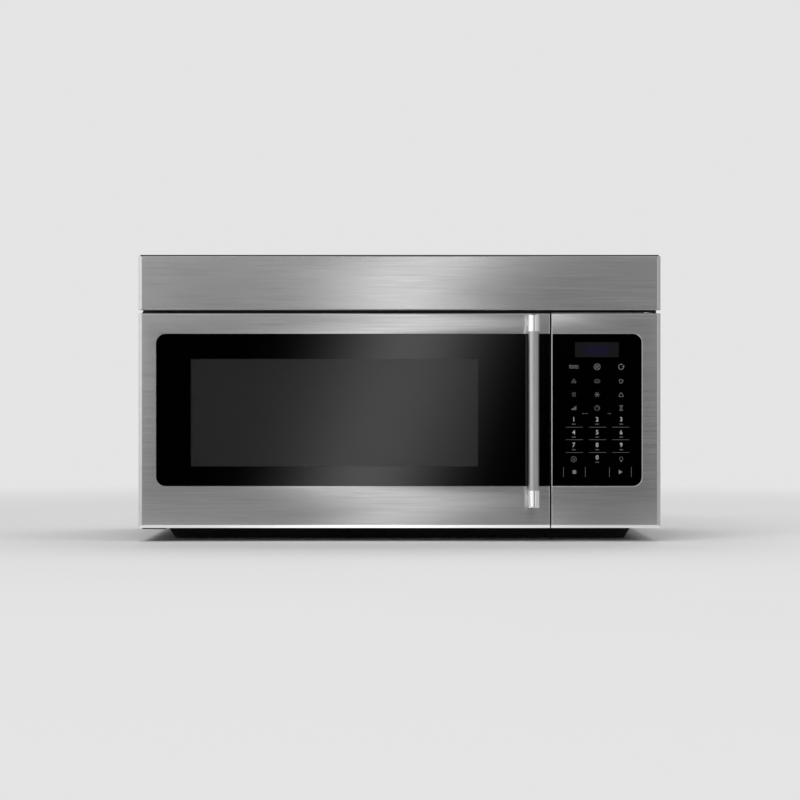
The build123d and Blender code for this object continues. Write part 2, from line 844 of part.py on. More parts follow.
with BuildPart() as roller_ring:
    with BuildSketch(Plane.XY.offset(roller_z - ring_height / 2)):
        with Locations(axis_place):
            Circle(ring_outer_radius)
            Circle(ring_inner_radius, mode=Mode.SUBTRACT)
    extrude(amount=ring_height)
    for number in range(roller_count):
        turn = 360 / roller_count * number
        spoke = Plane(
            (cavity_x, -turntable_depth, roller_z),
            x_dir=(0, 0, 1),
            z_dir=(math.cos(math.radians(turn)), math.sin(math.radians(turn)), 0),
        )
        with BuildSketch(spoke.offset(ring_outer_radius - axle_root)):
            RegularPolygon(roller_axle_radius, axle_sides)
        extrude(amount=roller_track_radius + roller_width / 2 - ring_outer_radius + axle_root)


def roller(number):
    """One roller of the ring, a wheel turning on a radial axle."""
    turn = 360 / roller_count * number
    spoke = Plane(
        (cavity_x, -turntable_depth, roller_z),
        x_dir=(0, 0, 1),
        z_dir=(math.cos(math.radians(turn)), math.sin(math.radians(turn)), 0),
    )
    with BuildPart() as wheel:
        with BuildSketch(spoke.offset(roller_track_radius - roller_width / 2 + seat_gap)):
            Circle(roller_radius)
            Circle(roller_axle_radius + running_gap, mode=Mode.SUBTRACT)
        extrude(amount=roller_width - seat_gap)
    return wheel


rollers = [roller(number) for number in range(roller_count)]

# ================================================================ hood blower
motor_half = exhaust_width / 2 - scroll_width
with BuildPart() as blower_housing:
    for side in (-1, 1):
        low_x = motor_half if side > 0 else -exhaust_width / 2
        with BuildSketch(Plane.YZ.offset(low_x)):
            with Locations((-scroll_depth, scroll_z)):
                Circle(scroll_radius)
            rectangle_between(
                (-exhaust_depth - exhaust_length, scroll_z), (-exhaust_depth, inner_top)
            )
        extrude(amount=scroll_width)
        with BuildSketch(Plane.YZ.offset(low_x + scroll_wall)):
            with Locations((-scroll_depth, scroll_z)):
                Circle(scroll_radius - scroll_wall)
            rectangle_between(
                (-exhaust_depth - exhaust_length + scroll_wall, scroll_z),
                (-exhaust_depth - scroll_wall, inner_top + sheet),
            )
        extrude(amount=scroll_width - 2 * scroll_wall, mode=Mode.SUBTRACT)
        with BuildSketch(Plane.YZ.offset(side * exhaust_width / 2)):
            with Locations((-scroll_depth, scroll_z)):
                Circle(inlet_radius)
        extrude(amount=-side * 2 * scroll_wall, mode=Mode.SUBTRACT)
        with BuildSketch(Plane.YZ.offset(side * motor_half)):
            with Locations((-scroll_depth, scroll_z)):
                RegularPolygon(shaft_hole_radius, wheel_hub_sides)
        extrude(amount=side * 2 * scroll_wall, mode=Mode.SUBTRACT)

with BuildPart() as blower_motor:
    with BuildSketch(Plane.YZ.offset(-motor_half)):
        with Locations((-scroll_depth, scroll_z)):
            Circle(blower_motor_radius)
        rectangle_between(
            (-scroll_depth - inlet_radius - motor_ear_reach, scroll_z - motor_ear_height / 2),
            (-scroll_depth + inlet_radius + motor_ear_reach, scroll_z + motor_ear_height / 2),
        )
        with Locations((-scroll_depth, scroll_z)):
            Circle(blower_shaft_radius + running_gap, mode=Mode.SUBTRACT)
    extrude(amount=2 * motor_half)

# Blower rotor: one shaft with two squirrel-cage wheels. Each wheel is a driving disc on the
# motor's side, curved-in blades and a ring round the air inlet at the far side.
axis_point = (-scroll_depth, scroll_z)
with BuildPart() as blower_rotor:
    for side in (-1, 1):
        middle = side * (exhaust_width - scroll_width) / 2
        disc_x = middle - side * wheel_width / 2
        ring_x = middle + side * wheel_width / 2
        with BuildSketch(Plane.YZ.offset(disc_x)):
            with Locations(axis_point):
                RegularPolygon(wheel_radius, wheel_blades)
        extrude(amount=side * wheel_disc)
        with BuildSketch(Plane.YZ.offset(ring_x)):
            with Locations(axis_point):
                RegularPolygon(wheel_radius, wheel_blades)
                RegularPolygon(wheel_radius - wheel_ring, wheel_blades, mode=Mode.SUBTRACT)
        extrude(amount=-side * wheel_ring_width)
        with BuildSketch(Plane.YZ.offset(disc_x + side * wheel_disc)):
            with Locations(axis_point):
                with PolarLocations(wheel_radius - wheel_ring + blade_bite, wheel_blades):
                    Rectangle(blade_length, blade_thickness, rotation=blade_angle)
        extrude(amount=side * (wheel_width - wheel_disc - wheel_ring_width))
        with BuildSketch(Plane.YZ.offset(disc_x + side * wheel_disc)):
            with Locations(axis_point):
                RegularPolygon(wheel_hub_radius, wheel_hub_sides)
        extrude(amount=side * 2 * wheel_hub_radius)
    with BuildSketch(Plane.YZ.offset(-exhaust_width / 2 + blower_shaft_inset)):
        with Locations(axis_point):
            Circle(blower_shaft_radius)
    extrude(amount=exhaust_width - 2 * blower_shaft_inset)

# ================================================================ electrical bay
with BuildPart() as chassis_floor:
    block((bay_left, inner_half), (sheet, plate_back), (bay_floor_z - bay_flange, bay_floor_z))
    offset(amount=-sheet, openings=faces().sort_by(Axis.Z)[0])

duct_x = (bay_left, bay_left + waveguide_rise)
antenna_place = (-(waveguide_depth[0] + waveguide_depth[1]) / 2, antenna_z)
with BuildPart() as waveguide:
    block(duct_x, waveguide_depth, waveguide_z)
    offset(amount=-sheet, openings=faces().sort_by(Axis.X)[0])
    with BuildSketch(Plane.YZ.offset(duct_x[1])):
        with Locations(antenna_place):
            RegularPolygon(antenna_radius + 2 * seat_gap, tube_sides)
    extrude(amount=-2 * sheet, mode=Mode.SUBTRACT)

# Magnetron: yoke with cooling fins round the tube, its antenna reaching into the waveguide.
magnetron_depth = (waveguide_depth[0] + magnetron_margin[0], waveguide_depth[1] - magnetron_margin[1])
magnetron_z = (antenna_z - magnetron_height / 2, antenna_z + magnetron_height / 2)
magnetron_end = duct_x[1] + magnetron_length
with BuildPart() as magnetron:
    block((duct_x[1], magnetron_end), magnetron_depth, magnetron_z)
    block(
        (duct_x[1] + yoke_base, magnetron_end - magnetron_cap),
        magnetron_depth,
        (magnetron_z[0] + yoke_wall, magnetron_z[1] - yoke_wall),
        mode=Mode.SUBTRACT,
    )
    for number in range(1, fin_count + 1):
        fin_x = duct_x[1] + yoke_base + number * fin_pitch - fin_thickness
        block((fin_x, fin_x + fin_thickness), magnetron_depth, magnetron_z)
    with BuildSketch(Plane.YZ.offset(duct_x[1])):
        with Locations(antenna_place):
            RegularPolygon(tube_radius, tube_sides)
    extrude(amount=magnetron_length - magnetron_cap)
    with BuildSketch(Plane.YZ.offset(duct_x[1])):
        with Locations(antenna_place):
            RegularPolygon(antenna_radius, tube_sides)
    extrude(amount=-antenna_length)

# Transformer: laminated core on two feet, with the windings standing out at both ends.
with BuildPart() as hv_transformer:
    with BuildSketch(Plane.XY.offset(bay_floor_z)):
        with Locations((transformer_x, -transformer_depth)):
            Rectangle(transformer_core[0] + 2 * transformer_foot, transformer_core[1])
    extrude(amount=foot_thickness)
    with BuildSketch(Plane.XY.offset(bay_floor_z)):
        with Locations((transformer_x, -transformer_depth)):
            Rectangle(transformer_core[0], transformer_core[1])
    extrude(amount=transformer_core[2])
    with BuildSketch(Plane.XY.offset(bay_floor_z + (transformer_core[2] - transformer_winding[2]) / 2)):
        with Locations((transformer_x, -transformer_depth)):
            Rectangle(transformer_winding[0], transformer_winding[1])
    extrude(amount=transformer_winding[2])

with BuildPart() as hv_capacitor:
    with BuildSketch(Plane.XY.offset(bay_floor_z)):
        with Locations((capacitor_x, -capacitor_depth)):
            SlotOverall(capacitor_size[0], capacitor_size[1])
    extrude(amount=capacitor_size[2])
    with BuildSketch(Plane.XY.offset(bay_floor_z + capacitor_size[2])):
        with Locations((capacitor_x, -capacitor_depth)):
            with GridLocations(terminal_pitch, 0, 2, 1):
                Rectangle(terminal_size[0], terminal_size[1])
    extrude(amount=terminal_size[2])

# Noise filter board: stands off the rear panel and carries a coil and a capacitor.
noise_board_back = sheet + noise_board_stand_off
noise_board_face = noise_board_back + board_thickness
with BuildPart() as noise_filter_board:
    block(noise_board_x, (noise_board_back, noise_board_face), noise_board_z)
    for edge in (noise_board_x[0], noise_board_x[1] - stand_off_width):
        middle = (noise_board_z[0] + noise_board_z[1] - stand_off_width) / 2
        block((edge, edge + stand_off_width), (sheet, noise_board_back), (middle, middle + stand_off_width))
    coil_x = noise_board_x[0] + board_part_margin
    coil_z = noise_board_z[0] + board_part_margin
    block(
        (coil_x, coil_x + filter_coil[0]),
        (noise_board_face, noise_board_face + filter_coil[1]),
        (coil_z, coil_z + filter_coil[2]),
    )
    part_x = noise_board_x[1] - board_part_margin
    part_z = noise_board_z[1] - board_part_margin
    block(
        (part_x - filter_capacitor[0], part_x),
        (noise_board_face, noise_board_face + filter_capacitor[1]),
        (part_z - filter_capacitor[2], part_z),
    )

# Cooling fan: its duct stands on the rear panel, with the motor inside.
fan_motor_face = sheet + fan_motor_length
with BuildPart() as cooling_fan_motor:
    block(
        (cooling_x - shroud_half, cooling_x + shroud_half),
        (sheet, sheet + shroud_length),
        (cooling_z - shroud_half, cooling_z + shroud_half),
    )
    offset(amount=-sheet, openings=faces().sort_by(Axis.Y)[-1])
    with BuildSketch(facing(sheet + shroud_length)):
        with Locations((cooling_x, cooling_z)):
            RegularPolygon(cooling_radius + shroud_hole_gap, oven_fan_sides)
    extrude(amount=-2 * sheet, mode=Mode.SUBTRACT)
    with BuildSketch(facing(fan_motor_face)):
        with Locations((cooling_x, cooling_z)):
            Rectangle(*fan_motor_size)
    extrude(amount=-fan_motor_length)
    block(
        (cooling_x - shroud_half, cooling_x + shroud_half),
        (sheet, sheet + fan_strap_thickness),
        (cooling_z - fan_strap / 2, cooling_z + fan_strap / 2),
    )
    with BuildSketch(facing(fan_motor_face)):
        with Locations((cooling_x, cooling_z)):
            Circle(shaft_radius + running_gap)
    extrude(amount=-fan_motor_bore, mode=Mode.SUBTRACT)

fan_hub_face = sheet + fan_hub_start + fan_hub_length
with BuildPart() as cooling_fan:
    with BuildSketch(facing(fan_hub_face)):
        with Locations((cooling_x, cooling_z)):
            RegularPolygon(fan_hub_radius, tube_sides)
    extrude(amount=-fan_hub_length)
    with BuildSketch(facing(fan_hub_face)):
        with Locations((cooling_x, cooling_z)):
            Circle(shaft_radius)
    extrude(amount=-fan_hub_face + fan_motor_face - fan_motor_bore + shaft_end_gap)
    for number in range(fan_blades):
        turn = math.radians(360 / fan_blades * number)
        blade = Plane(
            (cooling_x, -fan_hub_face + fan_hub_length / 2, cooling_z),
            x_dir=(math.cos(turn + math.pi / 2), fan_blade_slope, math.sin(turn + math.pi / 2)),
            z_dir=(math.cos(turn), 0, math.sin(turn)),
        )
        with BuildSketch(blade.offset(fan_blade_root)):
            Rectangle(fan_blade_width, fan_blade_thickness)
        extrude(amount=cooling_radius - fan_blade_root)

# ================================================================ vent grille and fascia
with BuildPart() as vent_fascia:
    add(
        folded_skin(
            (-half_width, half_width),
            (fascia_bottom, fascia_top),
            (wall_to_face - fascia_return, wall_to_face),
            corner_radius,
            corner_radius,
            edge_radius,
        )
    )

# Grille: black carrier behind the fascia, with the air outlet slots in its top face.
carrier_half = half_width - skin
slot_count = int((fascia_width - 2 * slot_end_margin) / slot_pitch)
carrier_step = wall_to_face - fascia_return
carrier_bottom = fascia_bottom + skin
with BuildPart() as vent_grille:
    with BuildSketch(Plane.YZ.offset(-carrier_half)):
        with BuildLine():
            Polyline(
                (-plate_face, carrier_bottom),
                (-wall_to_face + skin, carrier_bottom),
                (-wall_to_face + skin, fascia_top - skin),
                (-carrier_step, fascia_top - skin),
                (-carrier_step, unit_height),
                (-plate_face, unit_height),
                close=True,
            )
        make_face()
    extrude(amount=2 * carrier_half)
    chamfer(edges().filter_by(Axis.Z).group_by(Axis.Y)[0], corner_radius - skin)
    chamfer(edges().filter_by(Axis.X).group_by(Axis.Y)[0], edge_radius)
    offset(amount=-plastic, openings=faces().sort_by(Axis.Y)[-1])
    with BuildSketch(Plane.XY.offset(unit_height)):
        with Locations((0, -(plate_face + carrier_step) / 2)):
            with GridLocations(slot_pitch, 0, slot_count, 1):
                Rectangle(slot_width, slot_length)
    extrude(amount=-2 * plastic, mode=Mode.SUBTRACT)
    block(
        (-half_width, hinge_x + 2 * hinge_width),
        (plate_face, plate_face + hinge_plate + seat_gap),
        (carrier_bottom, fascia_bottom + hinge_leg + seat_gap),
        mode=Mode.SUBTRACT,
    )

with BuildPart() as charcoal_filter:
    charcoal_z = (carrier_bottom + plastic, carrier_bottom + plastic + charcoal_height)
    charcoal_back = plate_face + charcoal_stand_off
    charcoal_depth = (charcoal_back, charcoal_back + charcoal_thickness)
    block((-charcoal_length / 2, charcoal_length / 2), charcoal_depth, charcoal_z)
    block(
        (-charcoal_length / 2 + charcoal_frame, charcoal_length / 2 - charcoal_frame),
        (charcoal_depth[1] - charcoal_inset, charcoal_depth[1]),
        (charcoal_z[0] + charcoal_frame, charcoal_z[1] - charcoal_frame),
        mode=Mode.SUBTRACT,
    )

# ================================================================ door
door_left = -half_width
frame_left = door_left + skin
frame_right = door_right - skin
frame_bottom = case_bottom + skin
frame_top = door_top - skin
window_low = (-half_width + window_left_margin, case_bottom + window_bottom_margin)
window_high = (door_right - window_right_margin, door_top - window_top_margin)

with BuildPart() as door_skin:
    add(
        folded_skin(
            (door_left, door_right),
            (case_bottom, door_top),
            (wall_to_face - skin_return, wall_to_face),
            corner_radius,
            edge_radius,
            bottom_bevel,
        )
    )
    with BuildSketch(facing(door_glass_back)):
        rectangle_between((door_glass_left, glass_bottom), (door_right + skin, glass_top))
        fillet(vertices().group_by(Axis.X)[0], door_glass_radius)
    extrude(amount=2 * door_glass_thickness, mode=Mode.SUBTRACT)
    with BuildSketch(Plane.XY.offset(case_bottom - skin)):
        with Locations((hinge_x, -hinge_depth)):
            Circle(hinge_pin_radius + hinge_joggle / 2)
    extrude(amount=door_height + 2 * skin, mode=Mode.SUBTRACT)
    with BuildSketch(facing(wall_to_face - 2 * skin)):
        with Locations((handle_x, handle_low_z), (handle_x, handle_high_z)):
            Circle(handle_screw_radius + seat_gap)
    extrude(amount=3 * skin, mode=Mode.SUBTRACT)

with BuildPart() as door_glass:
    with BuildSketch(facing(door_glass_back)):
        rectangle_between(
            (door_glass_left + glass_fit, glass_bottom + glass_fit),
            (door_right - glass_fit, glass_top - glass_fit),
        )
        fillet(vertices().group_by(Axis.X)[0], door_glass_radius - glass_fit)
    extrude(amount=door_glass_thickness)

# Door frame: black moulding inside the skin, with hinge bosses, window rim and latch guides.
rear_radius = hinge_x - frame_left
frame_inner = door_glass_back - plastic
choke_plate = door_back + choke_depth
bar_back = door_back + cover_thickness + seat_gap
bar_front = bar_back + latch_bar_depth
with BuildPart() as door_frame:
    add(
        door_block(
            (frame_left, frame_right),
            (door_back, door_glass_back),
            (frame_bottom, frame_top),
            rear_radius,
            corner_radius - skin,
            bottom_bevel,
        )
    )
    add(
        door_block(
            (frame_left + plastic, frame_right - plastic),
            (door_back + plastic, frame_inner),
            (frame_bottom + plastic, frame_top - plastic),
            rear_radius - plastic,
            corner_radius - skin,
            bottom_bevel,
        ),
        mode=Mode.SUBTRACT,
    )
    block(
        (hinge_x, frame_right - plastic),
        (door_back - plastic, door_back + rear_radius),
        (frame_bottom + plastic, frame_top - plastic),
        mode=Mode.SUBTRACT,
    )
    with BuildSketch(facing(choke_plate)):
        rectangle_between(
            (window_low[0] - plastic, window_low[1] - plastic),
            (window_high[0] + plastic, window_high[1] + plastic),
        )
    extrude(amount=frame_inner - choke_plate)
    with BuildSketch(facing(choke_plate)):
        rectangle_between(window_low, window_high)
    extrude(amount=door_glass_back - choke_plate, mode=Mode.SUBTRACT)
    boss_x = (frame_left, hinge_x + 2 * hinge_pin_radius)
    boss_depth = (hinge_depth - 2 * hinge_pin_radius, hinge_depth + 2 * hinge_pin_radius)
    block(boss_x, boss_depth, (frame_top - hinge_pin_length, frame_top))
    block(boss_x, boss_depth, (frame_bottom, frame_bottom + hinge_pin_length))
    guide_x = (latch_x - latch_width, latch_x + latch_width)
    for guide_z in (latch_bottom + guide_low, latch_top - guide_high):
        block(guide_x, (bar_front + seat_gap, frame_inner), (guide_z, guide_z + guide_height))
    seat_z = latch_top + seat_gap + spring_length
    block(guide_x, (bar_back, frame_inner), (seat_z, seat_z + plastic))
    with BuildSketch(Plane.XY.offset(frame_top)):
        with Locations((hinge_x, -hinge_depth)):
            Circle(hinge_pin_radius + hinge_bore_gap)
    extrude(amount=-hinge_pin_length + plastic / 2, mode=Mode.SUBTRACT)
    with BuildSketch(Plane.XY.offset(frame_bottom)):
        with Locations((hinge_x, -hinge_depth)):
            Circle(hinge_pin_radius + hinge_bore_gap)
    extrude(amount=hinge_pin_length - plastic / 2, mode=Mode.SUBTRACT)
    with BuildSketch(facing(frame_inner)):
        with Locations((handle_x, handle_low_z), (handle_x, handle_high_z)):
            Circle(handle_screw_radius + seat_gap)
    extrude(amount=plastic, mode=Mode.SUBTRACT)

# Choke: folded steel ring that faces the front plate round the cavity and stops leakage.
choke_low = (cavity_left - choke_width, cavity_floor_z - choke_width)
choke_high = (cavity_right + choke_width, cavity_top + choke_width)
cover_front = door_back + cover_thickness
with BuildPart() as door_choke:
    with BuildSketch(facing(cover_front)):
        rectangle_between(choke_low, choke_high)
    extrude(amount=choke_plate - cover_front)
    with BuildSketch(facing(cover_front)):
        rectangle_between(
            (choke_low[0] + sheet, choke_low[1] + sheet),
            (choke_high[0] - sheet, choke_high[1] - sheet),
        )
        rectangle_between(
            (cavity_left - sheet, cavity_floor_z - sheet),
            (cavity_right + sheet, cavity_top + sheet),
            mode=Mode.SUBTRACT,
        )
        rectangle_between((cavity_left, cavity_floor_z), (cavity_right, cavity_top))
    extrude(amount=choke_plate - cover_front - sheet, mode=Mode.SUBTRACT)
    with BuildSketch(facing(choke_plate)):
        rectangle_between(window_low, window_high)
    extrude(amount=-2 * sheet, mode=Mode.SUBTRACT)

screen_back = choke_plate - sheet - screen_thickness
with BuildPart() as door_screen:
    with BuildSketch(facing(screen_back)):
        rectangle_between(
            (window_low[0] - screen_overlap, window_low[1] - screen_overlap),
            (window_high[0] + screen_overlap, window_high[1] + screen_overlap),
        )
    extrude(amount=screen_thickness)

inner_glass_back = screen_back - inner_glass_thickness
with BuildPart() as door_inner_glass:
    with BuildSketch(facing(inner_glass_back)):
        rectangle_between(
            (cavity_left + seat_gap, cavity_floor_z + seat_gap),
            (cavity_right - seat_gap, cavity_top - seat_gap),
        )
    extrude(amount=inner_glass_thickness)

# Choke cover: black moulding over the back of the door, with the slots of the latch hooks.
cover_rim_low = (cavity_left + cover_rim, cavity_floor_z + cover_rim)
cover_rim_high = (cavity_right - cover_rim, cavity_top - cover_rim)
hook_places = (latch_bottom + hook_inset, latch_top - hook_inset - hook_height)
with BuildPart() as choke_cover:
    with BuildSketch(facing(door_back)):
        rectangle_between(
            (hinge_x, frame_bottom + plastic), (frame_right - plastic, frame_top - plastic)
        )
    extrude(amount=cover_thickness)
    with BuildSketch(facing(door_back)):
        rectangle_between(
            (cover_rim_low[0] - plastic, cover_rim_low[1] - plastic),
            (cover_rim_high[0] + plastic, cover_rim_high[1] + plastic),
        )
    extrude(amount=inner_glass_back - door_back)
    with BuildSketch(facing(door_back)):
        rectangle_between(cover_rim_low, cover_rim_high)
        for hook_z in hook_places:
            rectangle_between(
                (latch_x - latch_width / 2 - latch_clearance, hook_z - latch_clearance),
                (
                    latch_x + latch_width / 2 + latch_clearance,
                    hook_z + hook_height + latch_travel + latch_clearance,
                ),
            )
    extrude(amount=inner_glass_back - door_back, mode=Mode.SUBTRACT)

# Latch: a bar with two hooks that slides upwards in the door against its spring.
hook_tip = door_back - hook_reach
with BuildPart() as door_latch:
    block(
        (latch_x - latch_width / 2, latch_x + latch_width / 2),
        (bar_back, bar_front),
        (latch_bottom, latch_top),
    )
    for hook_z in hook_places:
        with BuildSketch(Plane.YZ.offset(latch_x - latch_width / 2)):
            with BuildLine():
                Polyline(
                    (-bar_back, hook_z),
                    (-bar_back, hook_z + hook_height),
                    (-hook_tip - hook_nose, hook_z + hook_height),
                    (-hook_tip, hook_z + hook_height / 2),
                    (-hook_tip - hook_nose / 2, hook_z - hook_nose),
                    (-hook_tip - 2 * hook_nose, hook_z - hook_nose),
                    (-hook_tip - hook_heel, hook_z),
                    close=True,
                )
            make_face()
        extrude(amount=latch_width)

spring_depth = (bar_back + bar_front) / 2
with BuildPart() as latch_spring:
    with BuildSketch(Plane.XY.offset(latch_top + seat_gap)):
        with Locations((latch_x, -spring_depth)):
            RegularPolygon(spring_radius, spring_sides)
            RegularPolygon(spring_radius - spring_wall, spring_sides, mode=Mode.SUBTRACT)
    extrude(amount=spring_length)

# Latch board: the catches behind the front plate, with the switches that the hooks press.
board_start = latch_x + latch_slot_width / 2 + latch_slot_side + latch_board_gap
board_back = hook_tip - latch_board_reach
with BuildPart() as latch_board:
    block(
        (board_start, board_start + latch_board_thickness),
        (board_back, plate_back),
        (bay_floor_z, latch_top + latch_board_rise),
    )
    for hook_z in hook_places:
        catch_top = hook_z - hook_nose - latch_clearance
        block(
            (latch_x - latch_width, board_start),
            (hook_tip + hook_heel, plate_back),
            (catch_top - catch_height, catch_top),
        )
    switch_low = hook_places[0] - switch_drop
    switch_high = hook_places[1] - switch_drop
    for switch_z in (switch_low, switch_high, switch_high - switch_spacing + switch_drop):
        block(
            (board_start - switch_width, board_start),
            (board_back, hook_tip - switch_gap),
            (switch_z, switch_z + switch_height),
        )

# ================================================================ hinges
# Upper hinge: an angle on the front plate whose pin reaches down into the door.
hinge_side = (hinge_x - hinge_overhang, hinge_x - hinge_overhang + hinge_width)
upper_plate = (door_top + hinge_top_gap, door_top + hinge_top_gap + hinge_plate)
with BuildPart() as upper_hinge:
    with BuildSketch(Plane.YZ.offset(hinge_side[0])):
        with BuildLine():
            Polyline(
                (-plate_face, upper_plate[0]),
                (-plate_face, upper_plate[1] + hinge_leg),
                (-plate_face - hinge_plate, upper_plate[1] + hinge_leg),
                (-plate_face - hinge_plate, upper_plate[1]),
                (-hinge_depth - 2 * hinge_pin_radius, upper_plate[1]),
                (-hinge_depth - 2 * hinge_pin_radius, upper_plate[0]),
                close=True,
            )
        make_face()
    extrude(amount=hinge_side[1] - hinge_side[0])
    with BuildSketch(Plane.XY.offset(upper_plate[0])):
        with Locations((hinge_x, -hinge_depth)):
            Circle(hinge_pin_radius)
    extrude(amount=-hinge_pin_length + plastic)

# Lower hinge: a joggled strap under the base plate whose pin reaches up into the door.
lower_plate = (case_bottom - hinge_bottom_gap - hinge_plate, case_bottom - hinge_bottom_gap)
with BuildPart() as lower_hinge:
    with BuildSketch(Plane.YZ.offset(hinge_side[0])):
        with BuildLine():
            Polyline(
                (-plate_back + hinge_tongue, case_bottom),
                (-plate_back + hinge_joggle, case_bottom),
                (-plate_face, lower_plate[1]),
                (-hinge_depth - 2 * hinge_pin_radius, lower_plate[1]),
                (-hinge_depth - 2 * hinge_pin_radius, lower_plate[0]),
                (-plate_face, lower_plate[0]),
                (-plate_back + hinge_joggle, case_bottom - hinge_plate),
                (-plate_back + hinge_tongue, case_bottom - hinge_plate),
                close=True,
            )
        make_face()
    extrude(amount=hinge_side[1] - hinge_side[0])
    with BuildSketch(Plane.XY.offset(lower_plate[1])):
        with Locations((hinge_x, -hinge_depth)):
            Circle(hinge_pin_radius)
    extrude(amount=hinge_pin_length - plastic)

# ================================================================ handle
bar_depth = wall_to_face + handle_reach - handle_cap_diameter / 2
with BuildPart() as handle_bar:
    with BuildSketch(Plane.XY.offset(handle_bottom + handle_cap_height)):
        with Locations((handle_x, -bar_depth)):
            Circle(handle_bar_diameter / 2)
    extrude(amount=handle_top - handle_bottom - 2 * handle_cap_height)
    with BuildSketch(Plane.XY.offset(handle_bottom + handle_cap_height - handle_tenon_length)):
        with Locations((handle_x, -bar_depth)):
            Circle(handle_tenon_diameter / 2)
    extrude(amount=handle_top - handle_bottom - 2 * handle_cap_height + 2 * handle_tenon_length)


def handle_end(z, upwards):
    """End cap of the bar in one piece with the post that stands on the door."""
    middle = z + handle_cap_height / 2
    with BuildPart() as end:
        with BuildSketch(Plane.XY.offset(z)):
            with Locations((handle_x, -bar_depth)):
                Circle(handle_cap_diameter / 2)
        extrude(amount=handle_cap_height)
        tip = edges().filter_by(GeomType.CIRCLE).sort_by(Axis.Z)[-1 if upwards else 0]
        chamfer(tip, edge_radius)
        with BuildSketch(facing(wall_to_face)):
            with Locations((handle_x, middle)):
                Circle(handle_post_diameter / 2)
        extrude(amount=bar_depth - wall_to_face)
        tenon_start = z if upwards else z + handle_cap_height - handle_tenon_length
        with BuildSketch(Plane.XY.offset(tenon_start)):
            with Locations((handle_x, -bar_depth)):
                Circle(handle_tenon_diameter / 2)
        extrude(amount=handle_tenon_length, mode=Mode.SUBTRACT)
        with BuildSketch(facing(wall_to_face)):
            with Locations((handle_x, middle)):
                Circle(handle_screw_radius)
        extrude(amount=handle_screw_length, mode=Mode.SUBTRACT)
    return end.part


with BuildPart() as handle_posts:
    add(handle_end(handle_bottom, False))
    add(handle_end(handle_top - handle_cap_height, True))

with BuildPart() as handle_screws:
    for z in (handle_low_z, handle_high_z):
        with BuildSketch(facing(frame_inner - handle_screw_head)):
            with Locations((handle_x, z)):
                RegularPolygon(handle_screw_head_radius, 6)
        extrude(amount=handle_screw_head)
        with BuildSketch(facing(frame_inner)):
            with Locations((handle_x, z)):
                Circle(handle_screw_radius)
        extrude(amount=wall_to_face + handle_screw_length - handle_screw_gap - frame_inner)

# ================================================================ control panel
with BuildPart() as control_bezel:
    add(
        folded_skin(
            (panel_left, half_width),
            (case_bottom, door_top),
            (plate_face, wall_to_face),
            edge_radius,
            corner_radius,
            bottom_bevel,
        )
    )
    with BuildSketch(facing(touch_glass_back)):
        rectangle_between((touch_glass_left, glass_bottom), (touch_glass_right, glass_top))
        fillet(vertices().group_by(Axis.X)[-1], touch_glass_radius)
    extrude(amount=2 * touch_glass_thickness, mode=Mode.SUBTRACT)
    with BuildSketch(Plane.XY.offset(door_top)):
        with Locations((panel_screw_x, -panel_screw_depth)):
            Circle(panel_screw_radius)
    extrude(amount=-2 * skin, mode=Mode.SUBTRACT)

with BuildPart() as touch_glass:
    with BuildSketch(facing(touch_glass_back)):
        rectangle_between(
            (touch_glass_left + glass_fit, glass_bottom + glass_fit),
            (touch_glass_right - glass_fit, glass_top - glass_fit),
        )
        fillet(vertices().group_by(Axis.X)[-1], touch_glass_radius - glass_fit)
    extrude(amount=touch_glass_thickness)

display_low = (display_x - display_width / 2, display_z - display_height / 2)
display_high = (display_x + display_width / 2, display_z + display_height / 2)
carrier_inner = touch_glass_back - plastic
board_face = carrier_inner - display_thickness
with BuildPart() as control_carrier:
    block((touch_glass_left, half_width - skin), (plate_face, touch_glass_back), (frame_bottom, frame_top))
    chamfer(edges().filter_by(Axis.Z).group_by(Axis.Y)[0].sort_by(Axis.X)[-1], corner_radius - skin)
    chamfer(edges().filter_by(Axis.X).group_by(Axis.Y)[0].sort_by(Axis.Z)[0], bottom_bevel)
    offset(amount=-plastic, openings=faces().filter_by(Axis.Y).sort_by(Axis.Y)[-1])
    with BuildSketch(facing(carrier_inner)):
        rectangle_between(display_low, display_high)
    extrude(amount=plastic, mode=Mode.SUBTRACT)
    for boss_x in (board_low[0], board_high[0] - board_boss):
        for boss_z in (board_low[1], board_high[1] - board_boss):
            block(
                (boss_x, boss_x + board_boss),
                (board_face, carrier_inner),
                (boss_z, boss_z + board_boss),
            )
    with BuildSketch(Plane.XY.offset(frame_top)):
        with Locations((panel_screw_x, -panel_screw_depth)):
            Circle(panel_screw_radius)
    extrude(amount=-plastic, mode=Mode.SUBTRACT)

# Control board: the circuit board with the display on its front and the relays behind.
board_rear = board_face - board_thickness
with BuildPart() as control_board:
    block((board_low[0], board_high[0]), (board_rear, board_face), (board_low[1], board_high[1]))
    block(
        (display_low[0] - display_margin, display_high[0] + display_margin),
        (board_face, carrier_inner),
        (display_low[1] - display_margin, display_high[1] + display_margin),
    )
    for size, place in zip(relay_sizes, relay_places):
        with BuildSketch(facing(board_rear)):
            with Locations((board_low[0] + place[0], board_low[1] + place[1])):
                Rectangle(size, size)
        extrude(amount=-relay_flatness * size)

# Panel bracket: a tab on the front plate that holds the top of the control panel by a screw.
with BuildPart() as panel_bracket:
    block(
        (panel_left + skin, panel_screw_x + bracket_margin),
        (plate_face, panel_screw_depth + bracket_margin),
        (door_top, door_top + sheet),
    )
    with BuildSketch(Plane.XY.offset(door_top + sheet)):
        with Locations((panel_screw_x, -panel_screw_depth)):
            RegularPolygon(2 * panel_screw_radius, 6)
    extrude(amount=panel_screw_head)
    with BuildSketch(Plane.XY.offset(door_top)):
        with Locations((panel_screw_x, -panel_screw_depth)):
            Circle(panel_screw_radius)
    extrude(amount=-skin - plastic)

